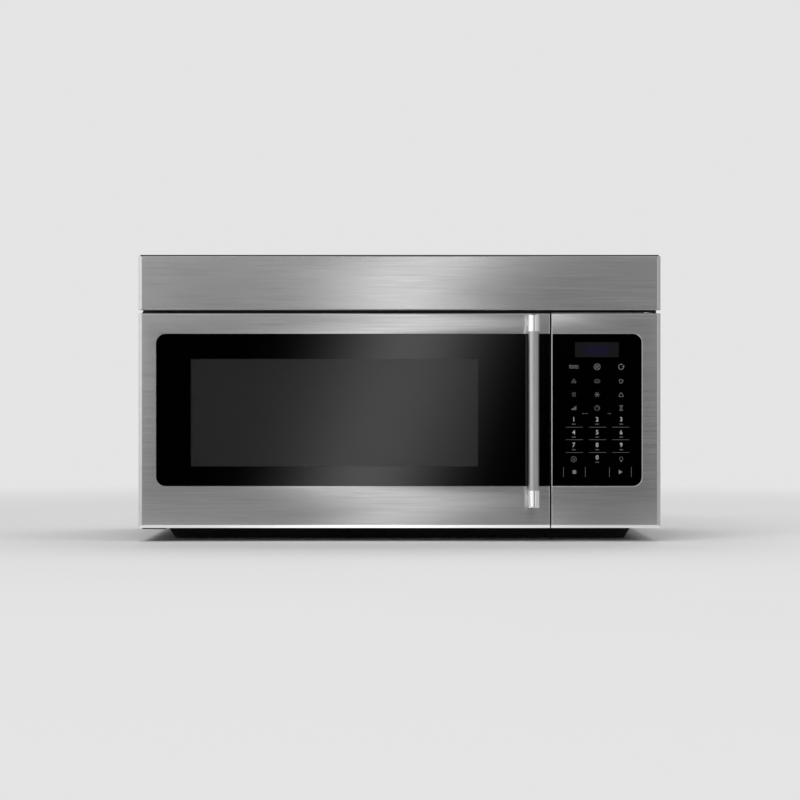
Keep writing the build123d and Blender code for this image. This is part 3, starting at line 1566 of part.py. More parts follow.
# ================================================================ files
pieces = {
    "rear_panel": rear_panel,
    "outer_case": outer_case,
    "cord_bushing": cord_bushing,
    "base_plate": base_plate,
    "hood_pan": hood_pan,
    "grease_filter_left": grease_filter_left,
    "grease_filter_right": grease_filter_right,
    "cooktop_lamp_lens": cooktop_lamp_lens,
    "cooktop_lamp": cooktop_lamp,
    "front_plate": front_plate,
    "cavity_floor": cavity_floor,
    "cavity_shell": cavity_shell,
    "waveguide_cover": waveguide_cover,
    "cavity_lamp": cavity_lamp,
    "convection_cover": convection_cover,
    "convection_housing": convection_housing,
    "convection_heater": convection_heater,
    "convection_fan": convection_fan,
    "convection_motor": convection_motor,
    "turntable_motor": turntable_motor,
    "drive_coupler": drive_coupler,
    "turntable_tray": turntable_tray,
    "roller_ring": roller_ring,
    "roller_1": rollers[0],
    "roller_2": rollers[1],
    "roller_3": rollers[2],
    "blower_housing": blower_housing,
    "blower_motor": blower_motor,
    "blower_rotor": blower_rotor,
    "chassis_floor": chassis_floor,
    "waveguide": waveguide,
    "magnetron": magnetron,
    "hv_transformer": hv_transformer,
    "hv_capacitor": hv_capacitor,
    "noise_filter_board": noise_filter_board,
    "cooling_fan_motor": cooling_fan_motor,
    "cooling_fan": cooling_fan,
    "vent_fascia": vent_fascia,
    "vent_grille": vent_grille,
    "charcoal_filter": charcoal_filter,
    "door_skin": door_skin,
    "door_glass": door_glass,
    "door_frame": door_frame,
    "door_choke": door_choke,
    "door_screen": door_screen,
    "door_inner_glass": door_inner_glass,
    "choke_cover": choke_cover,
    "door_latch": door_latch,
    "latch_spring": latch_spring,
    "latch_board": latch_board,
    "upper_hinge": upper_hinge,
    "lower_hinge": lower_hinge,
    "handle_bar": handle_bar,
    "handle_posts": handle_posts,
    "handle_screws": handle_screws,
    "control_bezel": control_bezel,
    "touch_glass": touch_glass,
    "control_carrier": control_carrier,
    "control_board": control_board,
    "panel_bracket": panel_bracket,
}
os.makedirs("parts", exist_ok=True)
for name, piece in pieces.items():
    piece.part.label = name
    export_step(piece.part, f"parts/{name}.step")
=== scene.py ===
import math

import bmesh
import bpy
from mathutils import Matrix, Vector


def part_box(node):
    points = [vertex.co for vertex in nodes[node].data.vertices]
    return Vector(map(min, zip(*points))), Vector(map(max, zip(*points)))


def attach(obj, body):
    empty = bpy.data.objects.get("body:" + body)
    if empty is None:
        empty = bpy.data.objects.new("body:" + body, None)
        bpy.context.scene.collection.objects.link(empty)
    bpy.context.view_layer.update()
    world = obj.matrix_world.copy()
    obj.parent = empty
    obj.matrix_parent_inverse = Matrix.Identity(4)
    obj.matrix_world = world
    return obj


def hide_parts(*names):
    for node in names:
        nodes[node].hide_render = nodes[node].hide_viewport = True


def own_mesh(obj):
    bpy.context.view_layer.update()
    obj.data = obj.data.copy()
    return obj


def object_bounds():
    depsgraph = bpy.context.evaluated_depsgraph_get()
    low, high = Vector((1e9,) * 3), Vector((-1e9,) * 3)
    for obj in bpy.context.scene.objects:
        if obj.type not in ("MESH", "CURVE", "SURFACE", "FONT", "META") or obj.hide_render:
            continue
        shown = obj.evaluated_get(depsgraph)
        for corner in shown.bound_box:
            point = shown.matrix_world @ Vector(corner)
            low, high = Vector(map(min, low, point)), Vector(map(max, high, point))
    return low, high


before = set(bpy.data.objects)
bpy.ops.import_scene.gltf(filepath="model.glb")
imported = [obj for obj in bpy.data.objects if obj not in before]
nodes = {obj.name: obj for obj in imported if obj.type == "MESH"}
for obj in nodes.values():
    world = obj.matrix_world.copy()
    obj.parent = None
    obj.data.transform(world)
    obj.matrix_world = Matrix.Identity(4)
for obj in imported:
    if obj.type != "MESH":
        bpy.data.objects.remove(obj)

# Over the range microwave: looks on the fixed CAD frame. Metres; -Y is towards the kitchen.

cad_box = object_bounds()
MM = 0.001

# ------ sizes read off the frame
SCREEN_OVERLAP = 8 * MM
WALL = 1.2 * MM
touch_low, touch_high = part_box("touch_glass")
screen_low, screen_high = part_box("door_screen")
case_low, case_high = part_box("outer_case")
skin_low, skin_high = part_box("door_skin")
cavity_low, cavity_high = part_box("cavity_shell")
window_x = (screen_low.x + SCREEN_OVERLAP, screen_high.x - SCREEN_OVERLAP)
window_z = (screen_low.z + SCREEN_OVERLAP, screen_high.z - SCREEN_OVERLAP)
front_y = skin_low.y

# ------ camera of the photograph
PIXEL = 1.4512 * MM
PICTURE = 800
CAMERA_DISTANCE = 3.45
CAMERA_X = 0.6 * MM
CAMERA_Z = 205.9 * MM
CAMERA_REACH = 50
SENSOR = 36.0


def placed(name, data):
    """A new object in the scene."""
    thing = bpy.data.objects.new(name, data)
    bpy.context.scene.collection.objects.link(thing)
    return thing


def set_camera():
    data = bpy.data.cameras.new("camera")
    data.sensor_width = SENSOR
    data.lens = SENSOR * CAMERA_DISTANCE / (PICTURE * PIXEL)
    data.clip_end = CAMERA_REACH
    camera = placed("camera", data)
    camera.location = (CAMERA_X, front_y - CAMERA_DISTANCE, CAMERA_Z)
    camera.rotation_euler = (math.radians(90), 0, 0)
    bpy.context.scene.camera = camera


# ------ node graphs
def three(value):
    """Three equal values from one number, or the three that are given."""
    return (value,) * 3 if isinstance(value, (int, float)) else value


def tinted(colour, share):
    """A colour times a share, kept at 1 or less."""
    return [min(c * share, 1) for c in three(colour)]


class Graph:
    """Short calls that add nodes to a node tree."""

    def __init__(self, tree):
        self.tree = tree
        self.nodes = tree.nodes
        self.nodes.clear()

    def join(self, source, target):
        self.tree.links.new(source, target)

    def feed(self, target, value):
        """Sets a socket to a constant, or joins it to another node's output."""
        if isinstance(value, bpy.types.NodeSocket):
            self.join(value, target)
        else:
            target.default_value = value

    def add(self, kind, output=0, settings=None, **sockets):
        """A node with its settings, and constants or joined outputs on its named sockets."""
        node = self.nodes.new(kind)
        for name, value in (settings or {}).items():
            setattr(node, name, value)
        for socket, value in sockets.items():
            self.feed(node.inputs[socket.replace("_", " ")], value)
        return node.outputs[output]

    def place(self, kind="Object"):
        return self.add("ShaderNodeTexCoord", kind)

    def ray(self, kind):
        """1 for rays of one kind, such as Glossy."""
        return self.add("ShaderNodeLightPath", f"Is {kind} Ray")

    def axis(self, index, source=None):
        return self.add("ShaderNodeSeparateXYZ", index, Vector=source or self.place())

    def math(self, operation, a, b=0.0, clamp=False):
        node = self.nodes.new("ShaderNodeMath")
        node.operation = operation
        node.use_clamp = clamp
        self.feed(node.inputs[0], a)
        self.feed(node.inputs[1], b)
        return node.outputs[0]

    def times(self, a, b):
        return self.math("MULTIPLY", a, b)

    def plus(self, a, b):
        return self.math("ADD", a, b)

    def minus(self, a, b):
        return self.math("SUBTRACT", a, b)

    def combined(self, operation, values):
        """Many values joined by one operation, such as MINIMUM."""
        result = values[0]
        for value in values[1:]:
            result = self.math(operation, result, value)
        return result

    def rest(self, share):
        """What a share leaves of 1."""
        return self.minus(1.0, share)

    def apart(self, value, middle):
        """How far a value is from a middle."""
        return self.math("ABSOLUTE", self.minus(value, middle))

    def length(self, a, b):
        """Length of the vector (a, b)."""
        return self.math("SQRT", self.plus(self.times(a, a), self.times(b, b)))

    def bell(self, value, middle, width, peak):
        """A bell curve over a value."""
        share = self.math("DIVIDE", self.minus(value, middle), width)
        fall = self.times(self.times(share, share), -0.5)
        return self.times(self.math("EXPONENT", fall), peak)

    def spread(self, value, low, high, start=0.3, end=0.7, smooth=False):
        """Maps value from start..end to low..high."""
        return self.add(
            "ShaderNodeMapRange", 0, {"interpolation_type": "SMOOTHSTEP" if smooth else "LINEAR"},
            Value=value, From_Min=start, From_Max=end, To_Min=low, To_Max=high,
        )

    def mix_numbers(self, factor, low, high):
        """low + factor * (high - low), where each may be a socket."""
        return self.plus(low, self.times(factor, self.minus(high, low)))

    def end_with(self, kind, source):
        """Joins the last result to an output node."""
        self.join(source, self.nodes.new(kind).inputs[0])

    def mix_shaders(self, factor, first, second):
        node = self.nodes.new("ShaderNodeMixShader")
        self.feed(node.inputs[0], factor)
        self.join(first, node.inputs[1])
        self.join(second, node.inputs[2])
        return node.outputs[0]


class Surface(Graph):
    """A material on one Principled shader. A colour is three numbers, or one for a grey."""

    def __init__(self, name, colour, roughness, metallic=0.0, **sockets):
        self.material = bpy.data.materials.new(name)
        self.material.use_nodes = True
        super().__init__(self.material.node_tree)
        self.output = self.nodes.new("ShaderNodeOutputMaterial")
        self.shader = self.nodes.new("ShaderNodeBsdfPrincipled")
        self.join(self.shader.outputs[0], self.output.inputs["Surface"])
        self.put("Base Color", (*three(colour), 1))
        self.put("Roughness", roughness)
        self.put("Metallic", metallic)
        for socket, value in sockets.items():
            self.put(socket.replace("_", " "), value)

    def put(self, socket, value):
        self.feed(self.shader.inputs[socket], value)

    def colour_so_far(self):
        return self.shader.inputs["Base Color"].links[0].from_socket

    def scaled(self, scale, offset=0):
        """The place on the piece times scale, which is one number or one for each axis."""
        return self.add("ShaderNodeMapping", Vector=self.place(), Scale=three(scale), Location=three(offset))

    def noise(self, scale, detail=2.0, offset=0):
        """Noise whose features are 1/scale metres along each axis."""
        place = self.scaled(scale, offset)
        return self.add("ShaderNodeTexNoise", "Fac", Vector=place, Scale=1, Detail=detail)

    def cells(self, scale, feature="F1", output="Color"):
        place = self.scaled(scale)
        return self.add("ShaderNodeTexVoronoi", output, {"feature": feature}, Vector=place, Scale=1)

    def blend(self, factor, low, high):
        """A colour between low and high."""
        node = self.nodes.new("ShaderNodeMix")
        node.data_type = "RGBA"
        self.join(factor, node.inputs["Factor"])
        for socket, colour in (("A", low), ("B", high)):
            target = [s for s in node.inputs if s.name == socket and s.type == "RGBA"][0]
            self.feed(target, colour if isinstance(colour, bpy.types.NodeSocket) else (*three(colour), 1))
        return [s for s in node.outputs if s.type == "RGBA"][0]

    def bump(self, height, depth, strength=1.0):
        """Adds a bump to those that the shader has."""
        links = self.shader.inputs["Normal"].links
        earlier = {"Normal": links[0].from_socket} if links else {}
        bump = self.add("ShaderNodeBump", Distance=depth, Strength=strength, Height=height, **earlier)
        self.put("Normal", bump)

    def colour(self, factor, low, high):
        self.put("Base Color", self.blend(factor, low, high))

    def rough(self, factor, low, high, start=0.3, end=0.7):
        self.put("Roughness", self.spread(factor, low, high, start, end))

    def inside(self, x_range, z_range, side=0, soft=0.2 * MM):
        """1 inside a rectangle over Z and one other axis, 0 outside it."""
        flanks = []
        for axis, (low, high) in ((side, x_range), (2, z_range)):
            value = self.axis(axis)
            flanks.append(self.spread(value, 0, 1, low - soft, low + soft))
            flanks.append(self.spread(value, 1, 0, high - soft, high + soft))
        return self.combined("MULTIPLY", flanks)

    def holes(self, pitch, radius, axis=0):
        """1 in the holes of a staggered lattice over Z and one other axis."""
        rows = [1, 1, 1 / (pitch * math.sqrt(3))]
        rows[axis] = 1 / pitch
        distances = []
        for shift in (0.0, 0.5):
            cell = self.scaled(rows, shift)
            across, upright = (
                self.minus(self.math("FRACT", self.axis(i, cell)), 0.5) for i in (axis, 2)
            )
            distances.append(self.length(across, self.times(upright, math.sqrt(3))))
        edge = radius / pitch
        return self.spread(self.combined("MINIMUM", distances), 1, 0, edge - 0.03, edge + 0.03)

    def ridges(self, axis, waves):
        """Even ridges across one axis, from 0 to 1."""
        sine = self.math("SINE", self.times(self.axis(axis), waves))
        return self.spread(sine, 0, 1, -1, 1)


# ------ metals
def brushed(name, colour, scale, roughness, anisotropy=0.0, turn=0.0):
    """Sheet brushed along the axes where scale is small."""
    steel = Surface(name, colour, 0.3, 1.0, Anisotropic=anisotropy, Anisotropic_Rotation=turn)
    steel.put("Tangent", steel.add("ShaderNodeTangent", 0, {"direction_type": "RADIAL", "axis": "Z"}))
    fine = steel.noise(scale, 1)
    middle = steel.noise([s * 0.45 for s in scale], 1, (3, 1, 2))
    grain = steel.mix_numbers(0.45, fine, middle)
    long_grain = [s * 0.4 if s > 100 else s * 0.7 for s in scale]
    scratches = steel.spread(steel.noise(long_grain, 0, (7, 5, 9)), 0, 1, 0.6, 0.68)
    polish = steel.spread(steel.noise([s * 1.3 for s in long_grain], 0, (1, 8, 4)), 0, 1, 0.62, 0.7)
    marks = steel.minus(scratches, polish)
    shade = steel.spread(grain, 0.15, 0.95, 0.25, 0.75)
    tone = steel.math("SUBTRACT", shade, steel.times(marks, 0.22), clamp=True)
    steel.colour(tone, tinted(colour, 0.93), tinted(colour, 1.05))
    rough = steel.spread(grain, *roughness, 0.25, 0.75)
    steel.put("Roughness", steel.plus(rough, steel.times(marks, 0.02)))
    steel.bump(fine, 0.002 * MM, 0.5)
    return steel


def chrome():
    metal = Surface("chrome", (0.88, 0.88, 0.89), 0.08, 1.0)
    metal.rough(metal.noise((60, 60, 400), 3), 0.05, 0.12)
    metal.bump(metal.noise((250, 250, 90)), 0.01 * MM, 0.3)
    return metal


def galvanised(name="galvanised"):
    zinc = Surface(name, (0.5, 0.51, 0.52), 0.45, 0.85)
    tone = zinc.axis(0, zinc.cells(190))
    zinc.colour(tone, (0.43, 0.44, 0.45), (0.56, 0.57, 0.58))
    zinc.rough(tone, 0.34, 0.55, 0, 1)
    zinc.bump(zinc.noise(40, 3), 0.1 * MM, 0.4)
    return zinc


WELD_PITCH = 62 * MM
WELD_RADIUS = 2.6 * MM
WELD_ROWS = (32 * MM, 408 * MM)


def welded_rear():
    """Zinc-plated rear panel with its rows of spot welds."""
    zinc = galvanised("rear_zinc")
    cell = zinc.math("FRACT", zinc.times(zinc.axis(0), 1 / WELD_PITCH))
    along = zinc.times(zinc.minus(cell, 0.5), WELD_PITCH)
    upright = zinc.combined("MINIMUM", [zinc.apart(zinc.axis(2), row) for row in WELD_ROWS])
    away = zinc.length(along, upright)
    spot = zinc.spread(away, 1, 0, WELD_RADIUS * 0.7, WELD_RADIUS, smooth=True)
    halo = zinc.spread(away, 0.5, 0, WELD_RADIUS, WELD_RADIUS * 2.2, smooth=True)
    scorch = zinc.math("MAXIMUM", spot, halo)
    zinc.colour(scorch, zinc.colour_so_far(), (0.3, 0.3, 0.31))
    zinc.bump(zinc.rest(spot), 0.4 * MM, 0.8)
    return zinc


def rolled(name, colour, roughness, metallic=0.9):
    """Plain rolled sheet with faint scuffs."""
    sheet = Surface(name, colour, roughness, metallic)
    scuff = sheet.noise((60, 15, 60), 4)
    cloud = sheet.noise(8, 3, 2)
    sheet.colour(sheet.spread(cloud, 0, 1), tinted(colour, 0.88), tinted(colour, 1.1))
    sheet.rough(scuff, roughness - 0.06, roughness + 0.08)
    sheet.bump(scuff, 0.03 * MM, 0.5)
    return sheet


# ------ paint, plastic, glass
def painted(name, colour, roughness):
    """Baked paint with a faint peel."""
    paint = Surface(name, colour, roughness)
    cloud = paint.noise(7, 3)
    pale = [c * 1.35 + 0.004 for c in colour]
    paint.colour(paint.spread(cloud, 0, 1), colour, pale)
    paint.rough(cloud, roughness - 0.05, roughness + 0.07)
    paint.bump(paint.noise(450), 0.06 * MM, 0.6)
    return paint


def moulded(name, colour, roughness):
    """Plastic with a fine moulded grain."""
    plastic = Surface(name, colour, roughness)
    cloud = plastic.noise(14, 3)
    plastic.colour(plastic.spread(cloud, 0, 1), tinted(colour, 0.86), colour)
    plastic.rough(cloud, roughness - 0.05, roughness + 0.05)
    plastic.bump(plastic.cells(1600, "F1", "Distance"), 0.05 * MM, 0.5)
    return plastic


GLASS_BLACK = (0.0003, 0.0003, 0.0004)
WINDOW_GREY = 0.027
WINDOW_ALPHA = 0.6


def black_door_glass():
    """Glass printed black behind, with a clear window that shows the screen."""
    glass = Surface("door_black_glass", GLASS_BLACK, 0.02)
    window = glass.inside(window_x, window_z)
    smear = glass.spread(glass.noise(9, 4), 0.015, 0.04)
    glass.put("Roughness", glass.plus(smear, glass.times(window, 0.08)))
    glass.colour(window, GLASS_BLACK, WINDOW_GREY)
    glass.put("Alpha", glass.spread(window, 1.0, WINDOW_ALPHA, 0, 1))
    return glass


DISPLAY_MIDDLE = (286.4 * MM, 278.95 * MM)
DISPLAY_HALF = (31.8 * MM, 10.95 * MM)
# How far the middle of the painted glow sits below the middle of the display.
PAINTED_GLOW_DROP = 1 * MM


def touch_panel_glass():
    """Black printed glass with the smoked window of the display, in which a soft blue glow is painted into
    the colour.
    """
    glass = Surface("touch_black_glass", GLASS_BLACK, 0.02)
    glass.rough(glass.noise(9, 4), 0.015, 0.04)
    (x, z), (w, h) = DISPLAY_MIDDLE, DISPLAY_HALF
    shown = glass.inside((x - w, x + w), (z - h, z + h))
    # Painted glow: the colour of the display's window turns blue-violet towards its middle, though no lamp
    # lights it.
    across = glass.apart(glass.axis(0), x)
    upright = glass.apart(glass.axis(2), z - PAINTED_GLOW_DROP)
    painted_glow_x = glass.spread(across, 1, 0, 6 * MM, 26 * MM, smooth=True)
    painted_glow_z = glass.spread(upright, 1, 0, 3 * MM, 11 * MM, smooth=True)
    glow = glass.times(painted_glow_x, painted_glow_z)
    window = glass.blend(glow, (0.011, 0.011, 0.0113), (0.0115, 0.0098, 0.028))
    glass.colour(shown, GLASS_BLACK, window)
    return glass


def clear_glass():
    """Tempered glass; lamps shine through it."""
    glass = Surface("clear_glass", (0.93, 0.97, 0.95), 0.02, Transmission_Weight=1.0, IOR=1.5)
    glass.rough(glass.noise(25, 4), 0.01, 0.05)
    glass.bump(glass.noise(30), 0.04 * MM, 0.2)
    clear = glass.add("ShaderNodeBsdfTransparent", Color=(0.85, 0.9, 0.88, 1))
    whole = glass.mix_shaders(glass.ray("Shadow"), glass.shader.outputs[0], clear)
    glass.join(whole, glass.output.inputs["Surface"])
    return glass


# ------ punched sheets and filters
SCREEN_PITCH = 2.2 * MM
SCREEN_HOLE = 0.75 * MM
VENT_PITCH = 3.6 * MM
VENT_HOLE = 1.0 * MM
VENT_Y = (-130 * MM, -62 * MM)
VENT_Z = (212 * MM, 262 * MM)
GRID_PITCH = 2.8 * MM
GRID_HOLE = 0.9 * MM
CAVITY_STEEL = (0.58, 0.58, 0.57)
CAVITY_ROUGHNESS = (0.3, 0.36)


def perforated_screen():
    screen = Surface("screen_steel", (0.15, 0.15, 0.152), 0.5)
    holes = screen.holes(SCREEN_PITCH, SCREEN_HOLE)
    open_part = screen.times(holes, screen.inside(window_x, window_z))
    screen.put("Alpha", screen.rest(open_part))
    screen.rough(screen.noise(30, 3), 0.42, 0.6)
    screen.bump(screen.noise(600), 0.03 * MM, 0.5)
    return screen


def cavity_wall():
    """Brushed cavity sheet with the punched steam vent of its left wall; the vent's holes are painted black
    as shade, not cut.
    """
    wall = brushed("cavity_wall", CAVITY_STEEL, (14, 14, 900), CAVITY_ROUGHNESS)
    holes = wall.holes(VENT_PITCH, VENT_HOLE, axis=1)
    patch = wall.inside(VENT_Y, VENT_Z, side=1)
    inner = cavity_low.x + 2 * MM
    left = wall.spread(wall.axis(0), 1, 0, inner, inner + 0.2 * MM)
    vent_hole_painted_shade = wall.combined("MULTIPLY", (holes, patch, left))
    # Painted shade: the vent's holes get a near-black colour in place of openings.
    wall.colour(vent_hole_painted_shade, wall.colour_so_far(), 0.004)
    wall.put("Metallic", wall.spread(vent_hole_painted_shade, 1, 0, 0, 1))
    wall.bump(wall.rest(vent_hole_painted_shade), 0.3 * MM, 0.6)
    return wall


def lamp_grid():
    """Punched plate over the cavity lamp."""
    plate = Surface("lamp_grid", (0.5, 0.5, 0.49), 0.38, 0.9)
    plate.put("Alpha", plate.rest(plate.holes(GRID_PITCH, GRID_HOLE, axis=1)))
    plate.rough(plate.noise(60, 3), 0.32, 0.46)
    plate.bump(plate.noise(400), 0.02 * MM, 0.5)
    return plate


FILTER_RIM = 9 * MM
MESH_SLANT = 1.9
MESH_WAVES = 160


def filter_rim(mesh):
    """1 on the folded rim and the pull tab of either grease filter, 0 on its mesh."""
    low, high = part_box("grease_filter_right")
    middle, half = (low + high) / 2, (high - low) / 2
    across = mesh.apart(mesh.math("ABSOLUTE", mesh.axis(0)), middle.x)
    along = mesh.apart(mesh.axis(1), middle.y)
    gaps = [mesh.minus(half.x, across), mesh.minus(half.y, along)]
    rim = mesh.spread(mesh.combined("MINIMUM", gaps), 1, 0, FILTER_RIM, FILTER_RIM + 0.5 * MM)
    tab = mesh.spread(mesh.axis(2), 1, 0, low.z + 0.7 * MM, low.z + MM)
    return mesh.math("MAXIMUM", rim, tab)


def grease_mesh():
    """Layers of expanded aluminium mesh in a folded rim, seen from below, with painted shade in the gaps
    between strands.
    """
    mesh = Surface("grease_mesh", (0.55, 0.56, 0.57), 0.36, 0.9)
    waves = []
    for slant in (MESH_SLANT, -MESH_SLANT):
        slanted = mesh.plus(mesh.axis(0), mesh.times(mesh.axis(1), slant))
        waves.append(mesh.math("ABSOLUTE", mesh.math("SINE", mesh.times(slanted, MESH_WAVES))))
    strand = mesh.spread(mesh.combined("MULTIPLY", waves), 1, 0, 0.12, 0.42)
    strand = mesh.math("MAXIMUM", strand, filter_rim(mesh))
    under = mesh.spread(mesh.noise(700), 0, 0.35, 0.5, 0.75)
    # Painted shade: the gaps between strands are dark, and under lightens them in places.
    tone = mesh.math("ADD", strand, under, clamp=True)
    mesh.colour(tone, 0.09, (0.6, 0.61, 0.62))
    mesh.rough(mesh.noise(90, 3), 0.3, 0.44)
    mesh.bump(strand, 0.8 * MM, 0.9)
    return mesh


def charcoal():
    pad = Surface("charcoal", 0.025, 0.8)
    grains = pad.cells(450, "F1", "Distance")
    pad.colour(grains, 0.012, 0.05)
    pad.bump(grains, 1.2 * MM, 1.0)
    return pad


# ------ electrical parts
CORE_HALF_DEPTH = 42.5 * MM
PLATE_WAVES = 6000
WIRE_WAVES = 4500


def mica():
    sheet = Surface("mica", (0.5, 0.44, 0.34), 0.4)
    tone = sheet.axis(0, sheet.cells(260))
    sheet.colour(tone, (0.4, 0.34, 0.24), (0.6, 0.54, 0.44))
    sheet.rough(tone, 0.3, 0.5, 0, 1)
    sheet.bump(tone, 0.06 * MM, 0.6)
    return sheet


def circuit_board():
    board = Surface("circuit_board", (0.04, 0.16, 0.07), 0.35)
    tracks = board.cells(260, "DISTANCE_TO_EDGE", "Distance")
    line = board.spread(tracks, 1, 0, 0.04, 0.08)
    board.colour(line, (0.03, 0.13, 0.055), (0.07, 0.26, 0.11))
    board.bump(line, 0.05 * MM, 0.5)
    return board


def transformer():
    """Laminated core with copper windings beyond it; the grooves between plates and between wires are painted
    darker as shade.
    """
    low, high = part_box("hv_transformer")
    core = Surface("transformer_steel", (0.3, 0.3, 0.31), 0.45, 0.7)
    reach = core.apart(core.axis(1), (low.y + high.y) / 2)
    copper = core.spread(reach, 0, 1, CORE_HALF_DEPTH - 0.2 * MM, CORE_HALF_DEPTH + 0.2 * MM)
    plates = core.ridges(0, PLATE_WAVES)
    wire = core.ridges(2, WIRE_WAVES)
    # Painted shade: each ridge's colour is darkest in its groove, for the plates and the wires alike.
    steel = core.blend(plates, (0.16, 0.16, 0.17), (0.36, 0.36, 0.37))
    winding = core.blend(wire, (0.3, 0.1, 0.04), (0.62, 0.25, 0.1))
    core.colour(copper, steel, winding)
    core.bump(plates, 0.1 * MM, 0.5)
    core.bump(wire, 0.15 * MM, 0.5)
    return core


# ------ dressing the CAD nodes
SHARP = math.radians(32)
SLIVER = 1e-10
EDGE_WIDTH = 0.35 * MM
UNEDGED = (
    "outer_case", "vent_grille", "control_carrier", "latch_board", "door_screen", "waveguide_cover",
    "blower_rotor", "latch_spring",
)


def clean_edges():
    """Node group that joins a mesh's split corners and marks its sharp edges."""
    group = bpy.data.node_groups.new("clean_edges", "GeometryNodeTree")
    for way in ("INPUT", "OUTPUT"):
        group.interface.new_socket("Geometry", in_out=way, socket_type="NodeSocketGeometry")
    graph = Graph(group)
    start = graph.nodes.new("NodeGroupInput").outputs[0]
    plain = graph.add("GeometryNodeRemoveAttribute", Geometry=start, Name="custom_normal")
    joined = graph.add("GeometryNodeMergeByDistance", Geometry=plain, Distance=0.002 * MM)
    smooth = graph.add("GeometryNodeSetShadeSmooth", Geometry=joined)
    # An edge is sharp where its angle and the areas of both its faces are above their limits.
    limits = [(graph.add("GeometryNodeInputMeshEdgeAngle"), SHARP)]
    limits += [(face_beside(graph, side), SLIVER) for side in (0, 1)]
    sharp = graph.combined("MULTIPLY", [graph.add("FunctionNodeCompare", A=a, B=b) for a, b in limits])
    edged = graph.add(
        "GeometryNodeSetShadeSmooth", 0, {"domain": "EDGE"},
        Geometry=smooth, Selection=sharp, Shade_Smooth=False,
    )
    weighed = graph.add(
        "GeometryNodeStoreNamedAttribute", 0, {"domain": "EDGE"},
        Geometry=edged, Name="bevel_weight_edge", Value=sharp,
    )
    graph.end_with("NodeGroupOutput", weighed)
    return group


def face_beside(graph, side):
    """Area of the face on one side of each edge."""
    corner = graph.add("GeometryNodeCornersOfEdge", "Corner Index", Sort_Index=side)
    face = graph.add("GeometryNodeFaceOfCorner", "Face Index", Corner_Index=corner)
    area = graph.add("GeometryNodeInputMeshFaceArea")
    return graph.add("GeometryNodeFieldAtIndex", 0, {"domain": "FACE"}, Value=area, Index=face)


def dress(node, material, cleaner):
    """Gives a node its material and, where its triangles allow it, rounds its sharp edges a little."""
    piece = nodes[node]
    for place in piece.material_slots:
        place.material = material
    piece.modifiers.new("clean", "NODES").node_group = cleaner
    if node in UNEDGED:
        return
    bevel = piece.modifiers.new("edges", "BEVEL")
    bevel.width = EDGE_WIDTH
    bevel.segments = 2
    bevel.limit_method = "WEIGHT"
    bevel.use_clamp_overlap = True
    bevel.harden_normals = True


def dress_all():
    """Gives every node its finish, and returns those that added pieces share."""
    shared = {
        "stainless": brushed("stainless", 0.6, (16, 16, 1500), (0.205, 0.235), 0.97, 0.25),
        "polished": chrome(),
        "paint": painted("black_paint", (0.018, 0.018, 0.019), 0.36),
        "plated": rolled("zinc_plated", (0.34, 0.34, 0.35), 0.4, 0.8),
        "white": moulded("white_plastic", (0.75, 0.75, 0.73), 0.42),
    }
    looks = {
        shared["stainless"]: ("door_skin", "control_bezel", "vent_fascia"),
        shared["polished"]: ("handle_posts", "handle_screws"),
        shared["paint"]: ("outer_case", "hood_pan", "base_plate", "front_plate"),
        shared["plated"]: (
            "panel_bracket", "blower_motor", "convection_motor", "hv_capacitor", "latch_spring",
        ),
        shared["white"]: ("drive_coupler", "roller_ring", "roller_1", "roller_2", "roller_3", "door_latch"),
        brushed("satin_bar", 0.45, (900, 900, 25), (0.27, 0.35), 0.7): ("handle_bar",),
        brushed("cavity_steel", CAVITY_STEEL, (14, 900, 14), CAVITY_ROUGHNESS): (
            "cavity_floor", "convection_cover", "door_choke",
        ),
        cavity_wall(): ("cavity_shell",),
        welded_rear(): ("rear_panel",),
        galvanised(): (
            "chassis_floor", "waveguide", "convection_housing", "blower_housing",
            "turntable_motor", "cooktop_lamp", "cavity_lamp", "cooling_fan_motor",
        ),
        painted("hinge_paint", (0.02, 0.02, 0.021), 0.42): ("upper_hinge", "lower_hinge"),
        moulded("black_plastic", 0.02, 0.5): (
            "door_frame", "choke_cover", "vent_grille", "control_carrier", "cord_bushing", "latch_board",
        ),
        moulded("grey_plastic", (0.35, 0.35, 0.36), 0.5): ("blower_rotor", "cooling_fan"),
        rolled("aluminium", (0.62, 0.63, 0.64), 0.35): ("convection_fan", "magnetron"),
        rolled("heater_sheath", (0.2, 0.19, 0.18), 0.5, 0.6): ("convection_heater",),
        clear_glass(): ("door_inner_glass", "turntable_tray", "cooktop_lamp_lens"),
        circuit_board(): ("control_board", "noise_filter_board"),
        black_door_glass(): ("door_glass",),
        touch_panel_glass(): ("touch_glass",),
        perforated_screen(): ("door_screen",),
        grease_mesh(): ("grease_filter_left", "grease_filter_right"),
        charcoal(): ("charcoal_filter",),
        mica(): ("waveguide_cover",),
        transformer(): ("hv_transformer",),
    }
    cleaner = clean_edges()
    for surface, members in looks.items():
        for node in members:
            dress(node, surface.material, cleaner)
    left = set(nodes) - {node for members in looks.values() for node in members}
    if left:
        raise ValueError(f"nodes without a finish: {sorted(left)}")
    return shared


# ------ pieces made in mesh code
def new_piece(name, mesh_maker, surface, body="cabinet"):
    build = bmesh.new()
    mesh_maker(build)
    bmesh.ops.recalc_face_normals(build, faces=build.faces)
    mesh = bpy.data.meshes.new(name)
    build.to_mesh(mesh)
    build.free()
    mesh.materials.append(surface.material)
    piece = placed(name, mesh)
    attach(piece, body)
    return piece


def join_rings(build, near, far):
    """A band of faces between two closed rings of vertices."""
    for i in range(len(near)):
        j = (i + 1) % len(near)
        build.faces.new((near[i], near[j], far[j], far[i]))


def vertex_rings(build, rings):
    return [[build.verts.new(point) for point in ring] for ring in rings]


